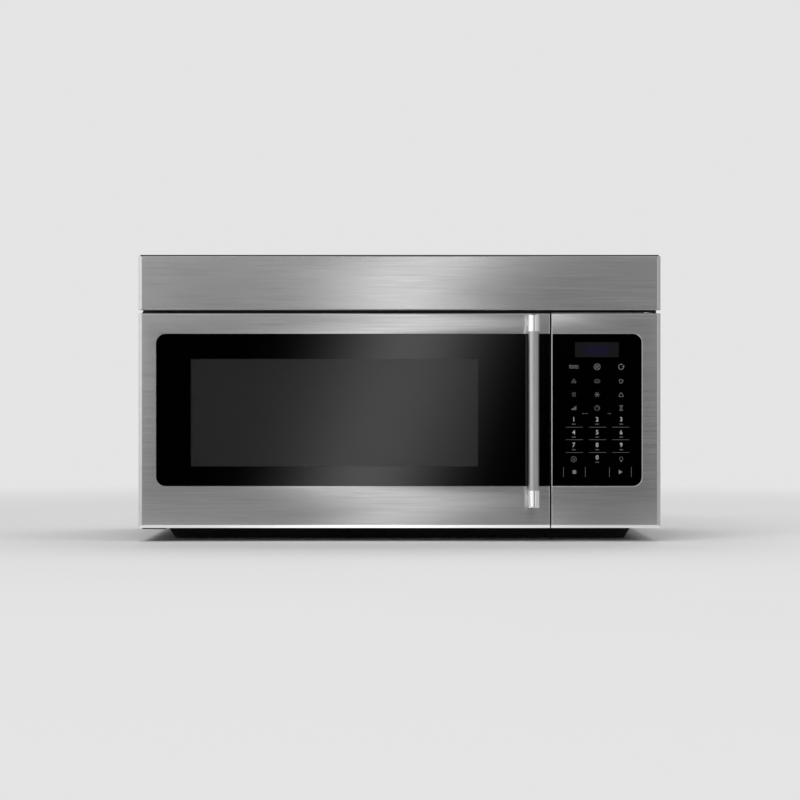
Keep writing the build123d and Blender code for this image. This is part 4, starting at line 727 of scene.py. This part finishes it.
def skin_rings(build, rings):
    """A closed skin over rings of points, with a cap at each end."""
    rings = vertex_rings(build, rings)
    for near, far in zip(rings, rings[1:]):
        join_rings(build, near, far)
    build.faces.new(list(reversed(rings[0])))
    build.faces.new(rings[-1])


def join_loop(build, rings):
    """A skin over rings of points whose last ring joins the first."""
    rings = vertex_rings(build, rings)
    for near, far in zip(rings, rings[1:] + rings[:1]):
        join_rings(build, near, far)


def prism(build, outline, front, back):
    """A flat form on the front: outline is (x, z) points, front and back are its y faces."""
    skin_rings(build, [[(x, y, z) for x, z in outline] for y in (front, back)])


def ring_points(x, z, radius, count=16, start=0.0, turn=2 * math.pi):
    """Points on a circle, or on an arc from start through turn."""
    steps = count if turn >= 2 * math.pi else count - 1
    return [
        (x + radius * math.cos(start + turn * i / steps), z + radius * math.sin(start + turn * i / steps))
        for i in range(count)
    ]


def rectangle(left, bottom, right, top):
    """The four corners of a rectangle, from its low left one."""
    return [(left, bottom), (right, bottom), (right, top), (left, top)]


def rounded(x_range, z_range, margin, radius):
    """Points round a rectangle with rounded corners, a margin inside its ranges."""
    inset = margin + radius
    corners = rectangle(x_range[0] + inset, z_range[0] + inset, x_range[1] - inset, z_range[1] - inset)
    points = []
    for k, (x, z) in enumerate(corners[2:] + corners[:2]):
        points += ring_points(x, z, radius, 6, k * math.pi / 2, math.pi / 2)
    return points


# ------ printed icons
PRINT = 0.05 * MM
PRINT_SINK = 0.01 * MM
LETTER_HEIGHT = 6.3 * MM
LETTER_WEIGHT = 0.008
# The pixel (FRAME_X, FRAME_Y) shows x = 0, z = FRAME_Z.
FRAME_X = 399.6
FRAME_Y = 528.1
FRAME_Z = 20 * MM
print_front = touch_low.y - PRINT
print_back = touch_low.y + PRINT_SINK


def panel_place(pixel_x, pixel_y):
    """The (x, z) on the touch glass that the photograph shows at a pixel."""
    return (pixel_x - FRAME_X) * PIXEL, FRAME_Z + (FRAME_Y - pixel_y) * PIXEL


class Pen:
    """Prints forms on the touch glass, round a pixel's place and in units of size."""

    def __init__(self, build, pixel_x, pixel_y, size=MM):
        self.build = build
        self.x, self.z = panel_place(pixel_x, pixel_y)
        self.size = size

    def form(self, points):
        outline = [(self.x + x * self.size, self.z + z * self.size) for x, z in points]
        prism(self.build, outline, print_front, print_back)

    def block(self, x, z, width, height):
        w, h = width / 2, height / 2
        self.form(rectangle(x - w, z - h, x + w, z + h))

    def line(self, points, width, closed=False):
        """A line through points, whose strokes run a little past each point."""
        ends = points[1:] + points[:1] if closed else points[1:]
        for (x0, z0), (x1, z1) in zip(points, ends):
            length = math.hypot(x1 - x0, z1 - z0)
            ux, uz = (x1 - x0) / length * width, (z1 - z0) / length * width
            px, pz = -uz / 2, ux / 2
            ex, ez = ux * 0.4, uz * 0.4
            self.form([
                (x0 - ex + px, z0 - ez + pz), (x0 - ex - px, z0 - ez - pz),
                (x1 + ex - px, z1 + ez - pz), (x1 + ex + px, z1 + ez + pz),
            ])

    def ring(self, x, z, radius, width, count=16):
        self.line(ring_points(x, z, radius, count), width, closed=True)

    def arc(self, x, z, radius, width, count, start, turn):
        self.line(ring_points(x, z, radius, count, math.radians(start), math.radians(turn)), width)


def icon_waves(pen):
    for row in (-0.42, 0, 0.42):
        pen.line([(t / 4 - 1.5, row + 0.1 * math.sin(t * math.pi / 3)) for t in range(13)], 0.11)


def icon_fan(pen):
    pen.ring(0, 0, 1, 0.11)
    for k in range(4):
        blade = ((0.1, 0), (0.45, 0.25), (0.72, 0.7))
        turns = [(reach, k * math.pi / 2 + lead) for reach, lead in blade]
        pen.line([(reach * math.cos(turn), reach * math.sin(turn)) for reach, turn in turns], 0.12)


def icon_loop(pen):
    pen.arc(0, 0, 0.85, 0.16, 13, 60, 300)
    pen.line([(0.45, 0.05), (0.85, 0), (0.95, 0.45)], 0.16)


def icon_dots(pen):
    for x, z in ((-0.5, -0.35), (0.5, -0.35), (0, 0.45)):
        pen.ring(x, z, 0.34, 0.16, 8)


def icon_oval(pen):
    pen.line([(x, 0.6 * z) for x, z in ring_points(0, 0, 1)], 0.16, True)
    pen.line([(-0.35, 0), (0.35, 0)], 0.14)


def icon_cup(pen):
    pen.line([(-0.7, 0.6), (-0.5, -0.7), (0.3, -0.7), (0.5, 0.6)], 0.16, True)
    pen.arc(0.5, 0.05, 0.36, 0.14, 7, -90, 180)


def icon_steam(pen):
    for x in (-0.5, 0, 0.5):
        pen.line([(x + 0.16 * math.sin(t * math.pi / 3), t / 6 - 0.7) for t in range(10)], 0.15)


def icon_snow(pen):
    for x, z in ring_points(0, 0, 1, 6)[:3]:
        pen.line([(-x, -z), (x, z)], 0.15)


def icon_bars(pen):
    for k in range(4):
        pen.block((k - 1.5) * 0.5, (k + 1) * 0.18 - 0.7, 0.26, (k + 1) * 0.36)


def icon_clock(pen):
    pen.ring(0, 0, 0.9, 0.14)
    pen.line([(0, 0.55), (0, 0), (0.4, 0)], 0.14)


def icon_hourglass(pen):
    pen.line([(-0.6, 0.9), (0.6, 0.9), (-0.6, -0.9), (0.6, -0.9)], 0.15, True)


def icon_bulb(pen):
    pen.arc(0, 0.25, 0.62, 0.14, 13, -55, 290)
    for z in (-0.5, -0.8):
        pen.line([(-0.3, z), (0.3, z)], 0.14)


def icon_stop(pen):
    pen.block(0, 0, 1.4, 1.4)


def icon_start(pen):
    pen.form([(-0.6, -0.85), (0.85, 0), (-0.6, 0.85)])


def icon_weight(pen):
    pen.line([(-0.8, -0.75), (0.8, -0.75), (0.5, 0.35), (-0.5, 0.35)], 0.15, True)
    pen.ring(0, 0.6, 0.26, 0.14, 8)


# ------ printed legends
# Values without MM are pixels of the photograph, down to the line weights.
COLUMNS = (573.8, 597.2, 621.2)
RULE_COLUMNS = (574.4, 597.6, 620.7)
KEY_RULE_COLUMNS = (563.5, 585.4, 609.5, 631.4)
STOP_COLUMN = 574.4
START_COLUMN = 620.4
MODE_ROW = 366.8
KEY_ROWS = (381.2, 394.6, 408.0)
MARK_ROW = 413.6
DIGIT_ROWS = (419.3, 432.3, 444.9)
RULE_ROWS = (427.2, 439.7, 452.5)
ZERO_ROW = 457.4
WORD_ROW = 459.2
BOTTOM_ROW = 472.0
CAPTION_DROP = 4.8
RULE_LENGTH = 17.2
KEY_RULE_LENGTH = 10
MARK_COLUMNS = (585.0, 609.3)
MODE_SIZE = 4.4 * MM
KEY_SIZE = 4.0 * MM
BOTTOM_SIZE = 3.8 * MM
# Line weights and bars in mm, which is a plain pen's unit.
RULE_WEIGHT = 0.6
KEY_RULE_WEIGHT = 0.7
CAPTION_BARS = ((-1.9, 1.4), (0, 1.6), (1.9, 1.3))
CAPTION_WEIGHT = 1.5
MARK_WIDTHS = (3.0, 1.8)
MARK_WEIGHT = 1.0


def add_digit(build, digit, pixel_x, pixel_y):
    """A digit in the plain built-in face, centred at a pixel's place on the touch glass."""
    x, z = panel_place(pixel_x, pixel_y)
    curve = bpy.data.curves.new("digits", "FONT")
    curve.body = digit
    curve.offset = LETTER_WEIGHT
    holder = placed("digits", curve)
    graph = bpy.context.evaluated_depsgraph_get()
    mesh = bpy.data.meshes.new_from_object(holder.evaluated_get(graph))
    xs = [v.co.x for v in mesh.vertices]
    ys = [v.co.y for v in mesh.vertices]
    size = LETTER_HEIGHT / (max(ys) - min(ys))
    middle = Vector(((min(xs) + max(xs)) / 2, (min(ys) + max(ys)) / 2, 0))
    turn = Matrix.Rotation(math.radians(90), 4, "X")
    place = Matrix.Translation((x, print_front, z))
    mesh.transform(place @ turn @ Matrix.Scale(size, 4) @ Matrix.Translation(-middle))
    build.from_mesh(mesh)
    bpy.data.meshes.remove(mesh)
    bpy.data.objects.remove(holder)


def modes(build):
    for icon, column in zip((icon_waves, icon_fan, icon_loop), COLUMNS):
        icon(Pen(build, column, MODE_ROW, MODE_SIZE))


def digits(build):
    for y, text in zip(DIGIT_ROWS, ("123", "456", "789")):
        for column, digit in zip(COLUMNS, text):
            add_digit(build, digit, column, y)
    add_digit(build, "0", COLUMNS[1], ZERO_ROW)


def keys(build):
    icons = (
        (icon_dots, icon_oval, icon_cup),
        (icon_steam, icon_snow, icon_weight),
        (icon_bars, icon_clock, icon_hourglass),
    )
    for y, row in zip(KEY_ROWS, icons):
        for icon, column in zip(row, COLUMNS):
            icon(Pen(build, column, y, KEY_SIZE))
    icon_fan(Pen(build, COLUMNS[0], WORD_ROW, KEY_SIZE))
    icon_bulb(Pen(build, COLUMNS[2], WORD_ROW, KEY_SIZE))
    icon_stop(Pen(build, STOP_COLUMN, BOTTOM_ROW, BOTTOM_SIZE))
    icon_start(Pen(build, START_COLUMN, BOTTOM_ROW, BOTTOM_SIZE))


def rules(build):
    """Rules between the keys, and short bars in the places of small words."""
    for y in RULE_ROWS:
        for column in RULE_COLUMNS:
            Pen(build, column, y).block(0, 0, RULE_LENGTH * PIXEL / MM, RULE_WEIGHT)
    for column in KEY_RULE_COLUMNS:
        Pen(build, column, BOTTOM_ROW).block(0, 0, KEY_RULE_WEIGHT, KEY_RULE_LENGTH * PIXEL / MM)
    for y in DIGIT_ROWS + (ZERO_ROW,):
        for column in COLUMNS if y != ZERO_ROW else COLUMNS[1:2]:
            for shift, width in CAPTION_BARS:
                Pen(build, column, y + CAPTION_DROP).block(shift, 0, width, CAPTION_WEIGHT)
    for column, width in zip(MARK_COLUMNS, MARK_WIDTHS):
        for side in (-1, 1):
            Pen(build, column, MARK_ROW).block(side * width * 0.75, 0, width, MARK_WEIGHT)


def printed(name, tone):
    """Screen-printed ink, a little uneven."""
    ink = Surface(name, tone, 0.55)
    speckle = ink.noise(900, 3)
    ink.colour(ink.spread(speckle, 0, 1), tone * 0.85, tone)
    ink.rough(speckle, 0.5, 0.65)
    return ink


def add_legends():
    """Generic icons, digits and rules in the places of the photograph's legends."""
    legends = (
        ("modes", modes, "soft", 0.36), ("digits", digits, "bright", 0.5),
        ("keys", keys, "grey", 0.2), ("rules", rules, "dim", 0.1),
    )
    for name, maker, ink, tone in legends:
        new_piece(f"legend_{name}", maker, printed(f"print_{ink}", tone))


# ------ glass lip, screws, washers
LIP_LAYERS = ((-0.12, 0.3), (0.1, -0.18), (0.7, -0.3), (1.25, 0.05))
LIP_RADIUS = 13 * MM


def glass_edge(out):
    """Points round the touch glass, moved outwards; its left side stays open."""
    low_z, high_z, right = touch_low.z - out, touch_high.z + out, touch_high.x + out
    radius = LIP_RADIUS + out
    upper = ring_points(right - radius, high_z - radius, radius, 9, math.pi / 2, -math.pi / 2)
    lower = ring_points(right - radius, low_z + radius, radius, 9, 0, -math.pi / 2)
    return [(touch_low.x, high_z)] + upper + lower + [(touch_low.x, low_z)]


def lip(build):
    """Rolled edge of the steel round the touch glass."""
    rows = vertex_rings(build, [
        [(x, front_y + depth * MM, z) for x, z in glass_edge(out * MM)] for out, depth in LIP_LAYERS
    ])
    for near, far in zip(rows, rows[1:] + rows[:1]):
        for i in range(len(near) - 1):
            build.faces.new((near[i], near[i + 1], far[i + 1], far[i]))
    build.faces.new([row[0] for row in rows])
    build.faces.new([row[-1] for row in reversed(rows)])


HEAD_PROFILE = ((1.0, 0.0), (1.0, 0.35), (0.9, 0.7), (0.7, 0.92), (0.58, 1.0))
HEAD_SIDES = 18
CROSS_REACH = 0.42
CROSS_HALF_WIDTH = 0.1
CROSS_NECK = 0.12
CROSS_FLOOR = 0.45


def cross_outline():
    """Points round a cross recess, in shares of a head's radius."""
    arm = ((CROSS_REACH, -CROSS_HALF_WIDTH), (CROSS_REACH, CROSS_HALF_WIDTH), (CROSS_NECK, CROSS_NECK))
    points = []
    for c, s in ((1, 0), (0, 1), (-1, 0), (0, -1)):
        points += [(x * c - y * s, x * s + y * c) for x, y in arm]
    return points


def screw_head(build, seat, direction, radius, height):
    """Pan head with a cross recess."""
    turn = Vector(direction).to_track_quat("Z", "Y").to_matrix().to_4x4()
    place = Matrix.Translation(seat) @ turn

    def ring(points, rise):
        level = rise * height
        return [build.verts.new(place @ Vector((x * radius, y * radius, level))) for x, y in points]

    rings = [ring(ring_points(0, 0, share, HEAD_SIDES), rise) for share, rise in HEAD_PROFILE]
    for near, far in zip(rings, rings[1:]):
        join_rings(build, near, far)
    build.faces.new(list(reversed(rings[0])))
    upper, lower = (ring(cross_outline(), rise) for rise in (1.0, CROSS_FLOOR))
    join_rings(build, lower, upper)
    build.faces.new(lower)
    rims = [
        build.edges.get((loop[i - 1], loop[i]))
        for loop in (rings[-1], upper) for i in range(len(loop))
    ]
    bmesh.ops.triangle_fill(build, edges=rims, use_beauty=True, use_dissolve=False)


def add_screws(name, seats, direction, size, surface):
    """Screws whose heads have a size of (radius, height)."""
    def heads(build):
        for seat in seats:
            screw_head(build, Vector(seat), direction, *size)

    new_piece(name, heads, surface)


CASE_SCREW = (4.5 * MM, 2.2 * MM)
ROOF_SCREW = (4.5 * MM, 1.1 * MM)
BASE_SCREW = (4.0 * MM, 2.0 * MM)
PANEL_SCREW = (3.6 * MM, 1.9 * MM)
REAR_SCREWS_Y = -12 * MM
SCREW_EDGE = 14 * MM
SCREW_BELOW_ROOF = 40 * MM
ROOF_SCREW_EDGE = 22 * MM
BASE_FRONT_GAP = 60 * MM


def add_case_screws(finishes):
    """Screws of the case: four on each side, four on the roof, six under the base."""
    rows = (REAR_SCREWS_Y, case_low.y + SCREW_EDGE)
    levels = (case_low.z + SCREW_EDGE, case_high.z - SCREW_BELOW_ROOF)
    for name, x, way in (("left", case_low.x, -1), ("right", case_high.x, 1)):
        seats = [(x, y, z) for y in rows for z in levels]
        add_screws(f"case_screws_{name}", seats, (way, 0, 0), CASE_SCREW, finishes["paint"])
    side = case_high.x - ROOF_SCREW_EDGE
    roof = [(x, y, case_high.z) for x in (-side, side) for y in rows]
    add_screws("roof_screws", roof, (0, 0, 1), ROOF_SCREW, finishes["paint"])
    base_low, base_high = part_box("base_plate")
    edge = base_high.x - SCREW_EDGE
    rows = (REAR_SCREWS_Y, base_low.y / 2, base_low.y + BASE_FRONT_GAP)
    under = [(x, y, base_low.z) for x in (-edge, edge) for y in rows]
    add_screws("base_screws", under, (0, 0, -1), BASE_SCREW, finishes["plated"])


HINGE_PIN = (6.8 * MM, 6.0 * MM)
WASHER_RADIUS = 5 * MM
WASHER_BORE = 3.1 * MM
PANEL_SCREW_INSET = 8.0 * MM
PANEL_SCREW_DROP = 1.6 * MM
# Each washer's rise from the end of the door skin, and its height.
UPPER_WASHER = (0.05 * MM, 0.75 * MM)
LOWER_WASHER = (-0.5 * MM, 0.4 * MM)


def washer(build, x, y, z, height):
    sizes = ((WASHER_BORE, z), (WASHER_RADIUS, z), (WASHER_RADIUS, z + height), (WASHER_BORE, z + height))
    rings = [[(*point, level) for point in ring_points(x, y, radius, 20)] for radius, level in sizes]
    join_loop(build, rings)


def add_front_hardware(finishes):
    """Washers on the hinge pins and the screw of the panel's bracket."""
    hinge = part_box("upper_hinge")[0]
    x, y = hinge.x + HINGE_PIN[0], hinge.y + HINGE_PIN[1]
    washers = (("upper", skin_high.z, *UPPER_WASHER), ("lower", skin_low.z, *LOWER_WASHER))
    for name, end, rise, height in washers:
        new_piece(
            f"hinge_washer_{name}", lambda build: washer(build, x, y, end + rise, height),
            finishes["polished"],
        )
    low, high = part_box("panel_bracket")
    seat = (high.x - PANEL_SCREW_INSET, low.y + PANEL_SCREW_INSET, high.z - PANEL_SCREW_DROP)
    add_screws("panel_screw", [seat], (0, 0, 1), PANEL_SCREW, finishes["polished"])


# ------ inside the door and the cavity
COIL_TURNS = 7
COIL_STEPS = 16
COIL_WIRE = 0.8 * MM
COIL_SIDES = 8


def add_spring(surface):
    """Wound spring of the latch, built rigid; in the oven the rising latch bar presses it together."""
    low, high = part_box("latch_spring")
    middle = (low + high) / 2
    radius = min(high.x - low.x, high.y - low.y) / 2 - COIL_WIRE
    bottom, top = low.z + COIL_WIRE, high.z - COIL_WIRE

    def wire(share):
        """Ring of points round the wire at a share of its length; the end turns lie flat."""
        lift = min(max((share * COIL_TURNS - 1) / (COIL_TURNS - 2), 0), 1)
        turn = 2 * math.pi * share * COIL_TURNS
        outward = Vector((math.cos(turn), math.sin(turn), 0))
        centre = Vector((middle.x, middle.y, bottom + lift * (top - bottom))) + outward * radius
        return [centre + outward * c + Vector((0, 0, s)) for c, s in ring_points(0, 0, COIL_WIRE, COIL_SIDES)]

    def coil(build):
        steps = COIL_TURNS * COIL_STEPS
        skin_rings(build, [wire(i / steps) for i in range(steps + 1)])

    spring = new_piece("latch_coil", coil, surface, "door")
    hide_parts("latch_spring")
    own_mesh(spring)


PRINT_MARGIN = 1 * MM
PRINT_OUTER_RADIUS = 4 * MM
PRINT_INNER_RADIUS = 5 * MM


def enamel():
    """Black enamel printed on glass."""
    ink = Surface("inner_print", 0.012, 0.35)
    speckle = ink.noise(300, 3)
    ink.colour(speckle, 0.01, 0.02)
    ink.rough(speckle, 0.28, 0.42)
    return ink


def add_inner_print():
    """Enamel frame round the window on the door's inner glass."""
    low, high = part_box("door_inner_glass")
    outer = rounded((low.x, high.x), (low.z, high.z), PRINT_MARGIN, PRINT_OUTER_RADIUS)
    inner = rounded(window_x, window_z, -PRINT_MARGIN, PRINT_INNER_RADIUS)
    front, back = high.y + PRINT, high.y - PRINT_SINK

    def frame_print(build):
        loops = ((outer, front), (inner, front), (inner, back), (outer, back))
        join_loop(build, [[(x, y, z) for x, z in loop] for loop, y in loops])

    new_piece("inner_glass_print", frame_print, enamel(), "door")


STUD_PROFILE = ((0.0, 7.0), (1.2, 7.0), (2.0, 5.6), (6.0, 5.2), (8.6, 5.0), (9.6, 4.2), (10.0, 3.0))
STUD_HEIGHT = 176 * MM
STUD_DEPTHS = (-95 * MM, -285 * MM)


def studs(build):
    """Moulded studs on the cavity's side walls, which carry a rack."""
    for wall, way in ((cavity_low.x + WALL, 1), (cavity_high.x - WALL, -1)):
        for depth in STUD_DEPTHS:
            skin_rings(build, [
                [(wall + way * out * MM, y, z) for y, z in ring_points(depth, STUD_HEIGHT, radius * MM, 20)]
                for out, radius in STUD_PROFILE
            ])


GRID_MARGIN = 1 * MM
GRID_RADIUS = 3 * MM
GRID_THICKNESS = 0.6 * MM


def grid(build):
    """Punched plate that covers the lamp's window in the right wall."""
    low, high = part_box("cavity_lamp")
    wall = cavity_high.x - WALL
    outline = rounded((low.y, high.y), (low.z, high.z), GRID_MARGIN, GRID_RADIUS)
    skin_rings(build, [[(x, *point) for point in outline] for x in (wall, wall - GRID_THICKNESS)])


# ------ studio
BACKGROUND = 0.78
FILL = 0.46
FRONT_CENTRE = (1.08, 0.66)
FRONT_SIDES = (1.3, 0.5)
OVERHEAD = 0.15


def set_lights():
    bpy.context.scene.view_settings.view_transform = "Standard"
    lamp("key", (-0.9, -2.5, 2.7), (0, -0.3, 0.15), (2.4, 1.4), 46)
    lamp("side", (2.4, -1.6, 1.5), (0, -0.3, 0.2), (1.2, 1.2), 14)
    lamp("top", (0.2, 0.9, 2.6), (0, -0.2, 0.2), (2.4, 1.4), 26)


def lamp(name, place, aim, size, watts):
    """A soft lamp that neither the camera nor reflections see."""
    data = bpy.data.lights.new(name, "AREA")
    data.shape = "RECTANGLE"
    data.size, data.size_y = size
    data.energy = watts
    holder = placed(name, data)
    holder.location = place
    holder.rotation_euler = (Vector(aim) - Vector(place)).to_track_quat("-Z", "Y").to_euler()
    holder.visible_camera = False
    holder.visible_glossy = False


def mirrored_front(sky, x, y, z):
    """Brightness that reflections see before the object: darkest on the camera's axis and overhead."""
    aside = sky.math("DIVIDE", sky.math("ABSOLUTE", x), sky.math("MAXIMUM", sky.length(x, y), 0.001))
    raised = sky.spread(sky.math("ABSOLUTE", z), 0, 1, 0.08, 0.26, smooth=True)
    centre = sky.times(raised, sky.spread(x, *FRONT_CENTRE, -0.12, 0.12))
    sides = sky.spread(x, *FRONT_SIDES, -1, 1)
    front = sky.mix_numbers(sky.spread(aside, 0, 1, 0.13, 0.34, smooth=True), centre, sides)
    return sky.mix_numbers(sky.spread(z, 0, 1, 0.78, 0.95, smooth=True), front, OVERHEAD)


def set_world():
    """Pale behind the object and to its sides, with a dark spot on the camera's axis."""
    world = bpy.data.worlds.new("studio")
    bpy.context.scene.world = world
    world.use_nodes = True
    sky = Graph(world.node_tree)
    x, y, z = (sky.axis(i, sky.place("Generated")) for i in range(3))
    behind = sky.spread(y, 0, 1, 0.35, 0.8, smooth=True)
    mirrored = sky.mix_numbers(behind, mirrored_front(sky, x, y, z), BACKGROUND)
    seen, fill, reflected = (
        sky.add("ShaderNodeBackground", Color=(1, 1, 1, 1), Strength=strength)
        for strength in (BACKGROUND, FILL, mirrored)
    )
    lit = sky.mix_shaders(sky.math("MAXIMUM", sky.ray("Glossy"), sky.ray("Transmission")), fill, reflected)
    sky.end_with("ShaderNodeOutputWorld", sky.mix_shaders(sky.ray("Camera"), lit, seen))


def flat_sheet(name, corners, material):
    """A four-cornered sheet of the studio."""
    mesh = bpy.data.meshes.new(name)
    mesh.from_pydata(corners, [], [(0, 1, 2, 3)])
    mesh.materials.append(material)
    sheet = placed(name, mesh)
    return sheet


FLOOR_DROP = 0.5 * MM
FLOOR_FRONT = -2.66
FLOOR_REACH = 30.0
FLOOR_CENTRE_Y = -0.2
FLOOR_NEAR = 0.9
FLOOR_FAR = 2.3
FLOOR_MIRRORED = 0.42


def set_floor():
    """A pale floor that keeps the shadow and runs into the background further off."""
    floor = Surface("floor", 0.72, 0.6, Specular_IOR_Level=0.0)
    x, y = floor.axis(0), floor.axis(1)
    before = floor.spread(y, 1, 0, -0.75, -0.35)
    dimmed = floor.times(before, floor.ray("Glossy"))
    pale = floor.blend(floor.noise(2), 0.71, 0.74)
    floor.colour(dimmed, pale, FLOOR_MIRRORED)
    away = floor.length(x, floor.minus(y, FLOOR_CENTRE_Y))
    far = floor.spread(away, 0, 1, FLOOR_NEAR, FLOOR_FAR, smooth=True)
    mirrored = floor.math("MAXIMUM", floor.ray("Glossy"), floor.ray("Transmission"))
    mirrored = floor.times(mirrored, floor.spread(y, 0, 1, -0.5, 0.5))
    seen = floor.math("MAXIMUM", floor.ray("Camera"), mirrored)
    glow = floor.add("ShaderNodeEmission", Strength=BACKGROUND)
    whole = floor.mix_shaders(floor.times(far, seen), floor.shader.outputs[0], glow)
    open_front = floor.times(floor.spread(y, 1, 0, -1.0, -0.8), floor.ray("Glossy"))
    whole = floor.mix_shaders(open_front, whole, floor.add("ShaderNodeBsdfTransparent"))
    floor.join(whole, floor.output.inputs["Surface"])
    z = cad_box[0][2] - FLOOR_DROP
    corners = rectangle(-FLOOR_REACH, FLOOR_FRONT, FLOOR_REACH, FLOOR_REACH)
    flat_sheet("floor", [(*corner, z) for corner in corners], floor.material)


def hidden_light(name, corners, middle, width, peak, base=0.0):
    """A glowing sheet, brightest along its middle, that neither the camera nor shadows see."""
    glow = bpy.data.materials.new(name)
    glow.use_nodes = True
    graph = Graph(glow.node_tree)
    strength = graph.plus(graph.bell(graph.axis(0), middle, width, peak), base)
    graph.end_with("ShaderNodeOutputMaterial", graph.add("ShaderNodeEmission", Strength=strength))
    sheet = flat_sheet(name, corners, glow)
    sheet.visible_camera = False
    sheet.visible_shadow = False
    return sheet


BAND_BEHIND = 0.3
BAND_SPREAD = 0.133
BAND_HALF = (0.6, 1.0)
BAND_PEAK = 1.9
BAND_TOP = (0.018, 0.3017)
BAND_BOTTOM = (-0.0517, 0.0826)


def set_band():
    """A soft leaning strip of light behind the camera, which the glass and steel mirror."""
    reach = 1 + (CAMERA_DISTANCE + BAND_BEHIND) / CAMERA_DISTANCE
    top, bottom = (
        Vector((CAMERA_X + (x - CAMERA_X) * reach, 0, CAMERA_Z + (z - CAMERA_Z) * reach))
        for x, z in (BAND_TOP, BAND_BOTTOM)
    )
    middle = (top + bottom) / 2
    w, h = BAND_HALF
    corners = [(x, 0, z) for x, z in rectangle(-w, -h, w, h)]
    band = hidden_light("band", corners, 0.0, BAND_SPREAD, BAND_PEAK)
    band.location = (middle.x, front_y - CAMERA_DISTANCE - BAND_BEHIND, middle.z)
    band.rotation_euler = (0, math.atan2(top.x - bottom.x, top.z - bottom.z), 0)


CARD_BASE = 1.15
CARD_PEAK = 1.15
CARD_MIDDLE = -0.04
CARD_SPREAD = 0.14
CARD_HALF_WIDTH = 0.5
CARD_BEFORE = 2 * MM
CARD_BEHIND = 30 * MM


def set_card():
    """A bright card low under the front of the door, which the door's lower bevel mirrors."""
    w, z = CARD_HALF_WIDTH, cad_box[0][2]
    outline = rectangle(-w, front_y - CARD_BEFORE, w, front_y + CARD_BEHIND)
    corners = [(*corner, z) for corner in outline]
    card = hidden_light("card", corners, CARD_MIDDLE, CARD_SPREAD, CARD_PEAK, CARD_BASE)
    card.visible_diffuse = False


# ------ the script
set_camera()
set_world()
set_floor()
set_lights()
set_band()
set_card()
finishes = dress_all()
add_legends()
new_piece("touch_glass_lip", lip, finishes["stainless"])
add_case_screws(finishes)
add_front_hardware(finishes)
add_spring(finishes["plated"])
add_inner_print()
new_piece("rack_studs", studs, finishes["white"])
new_piece("lamp_grid", grid, lamp_grid())
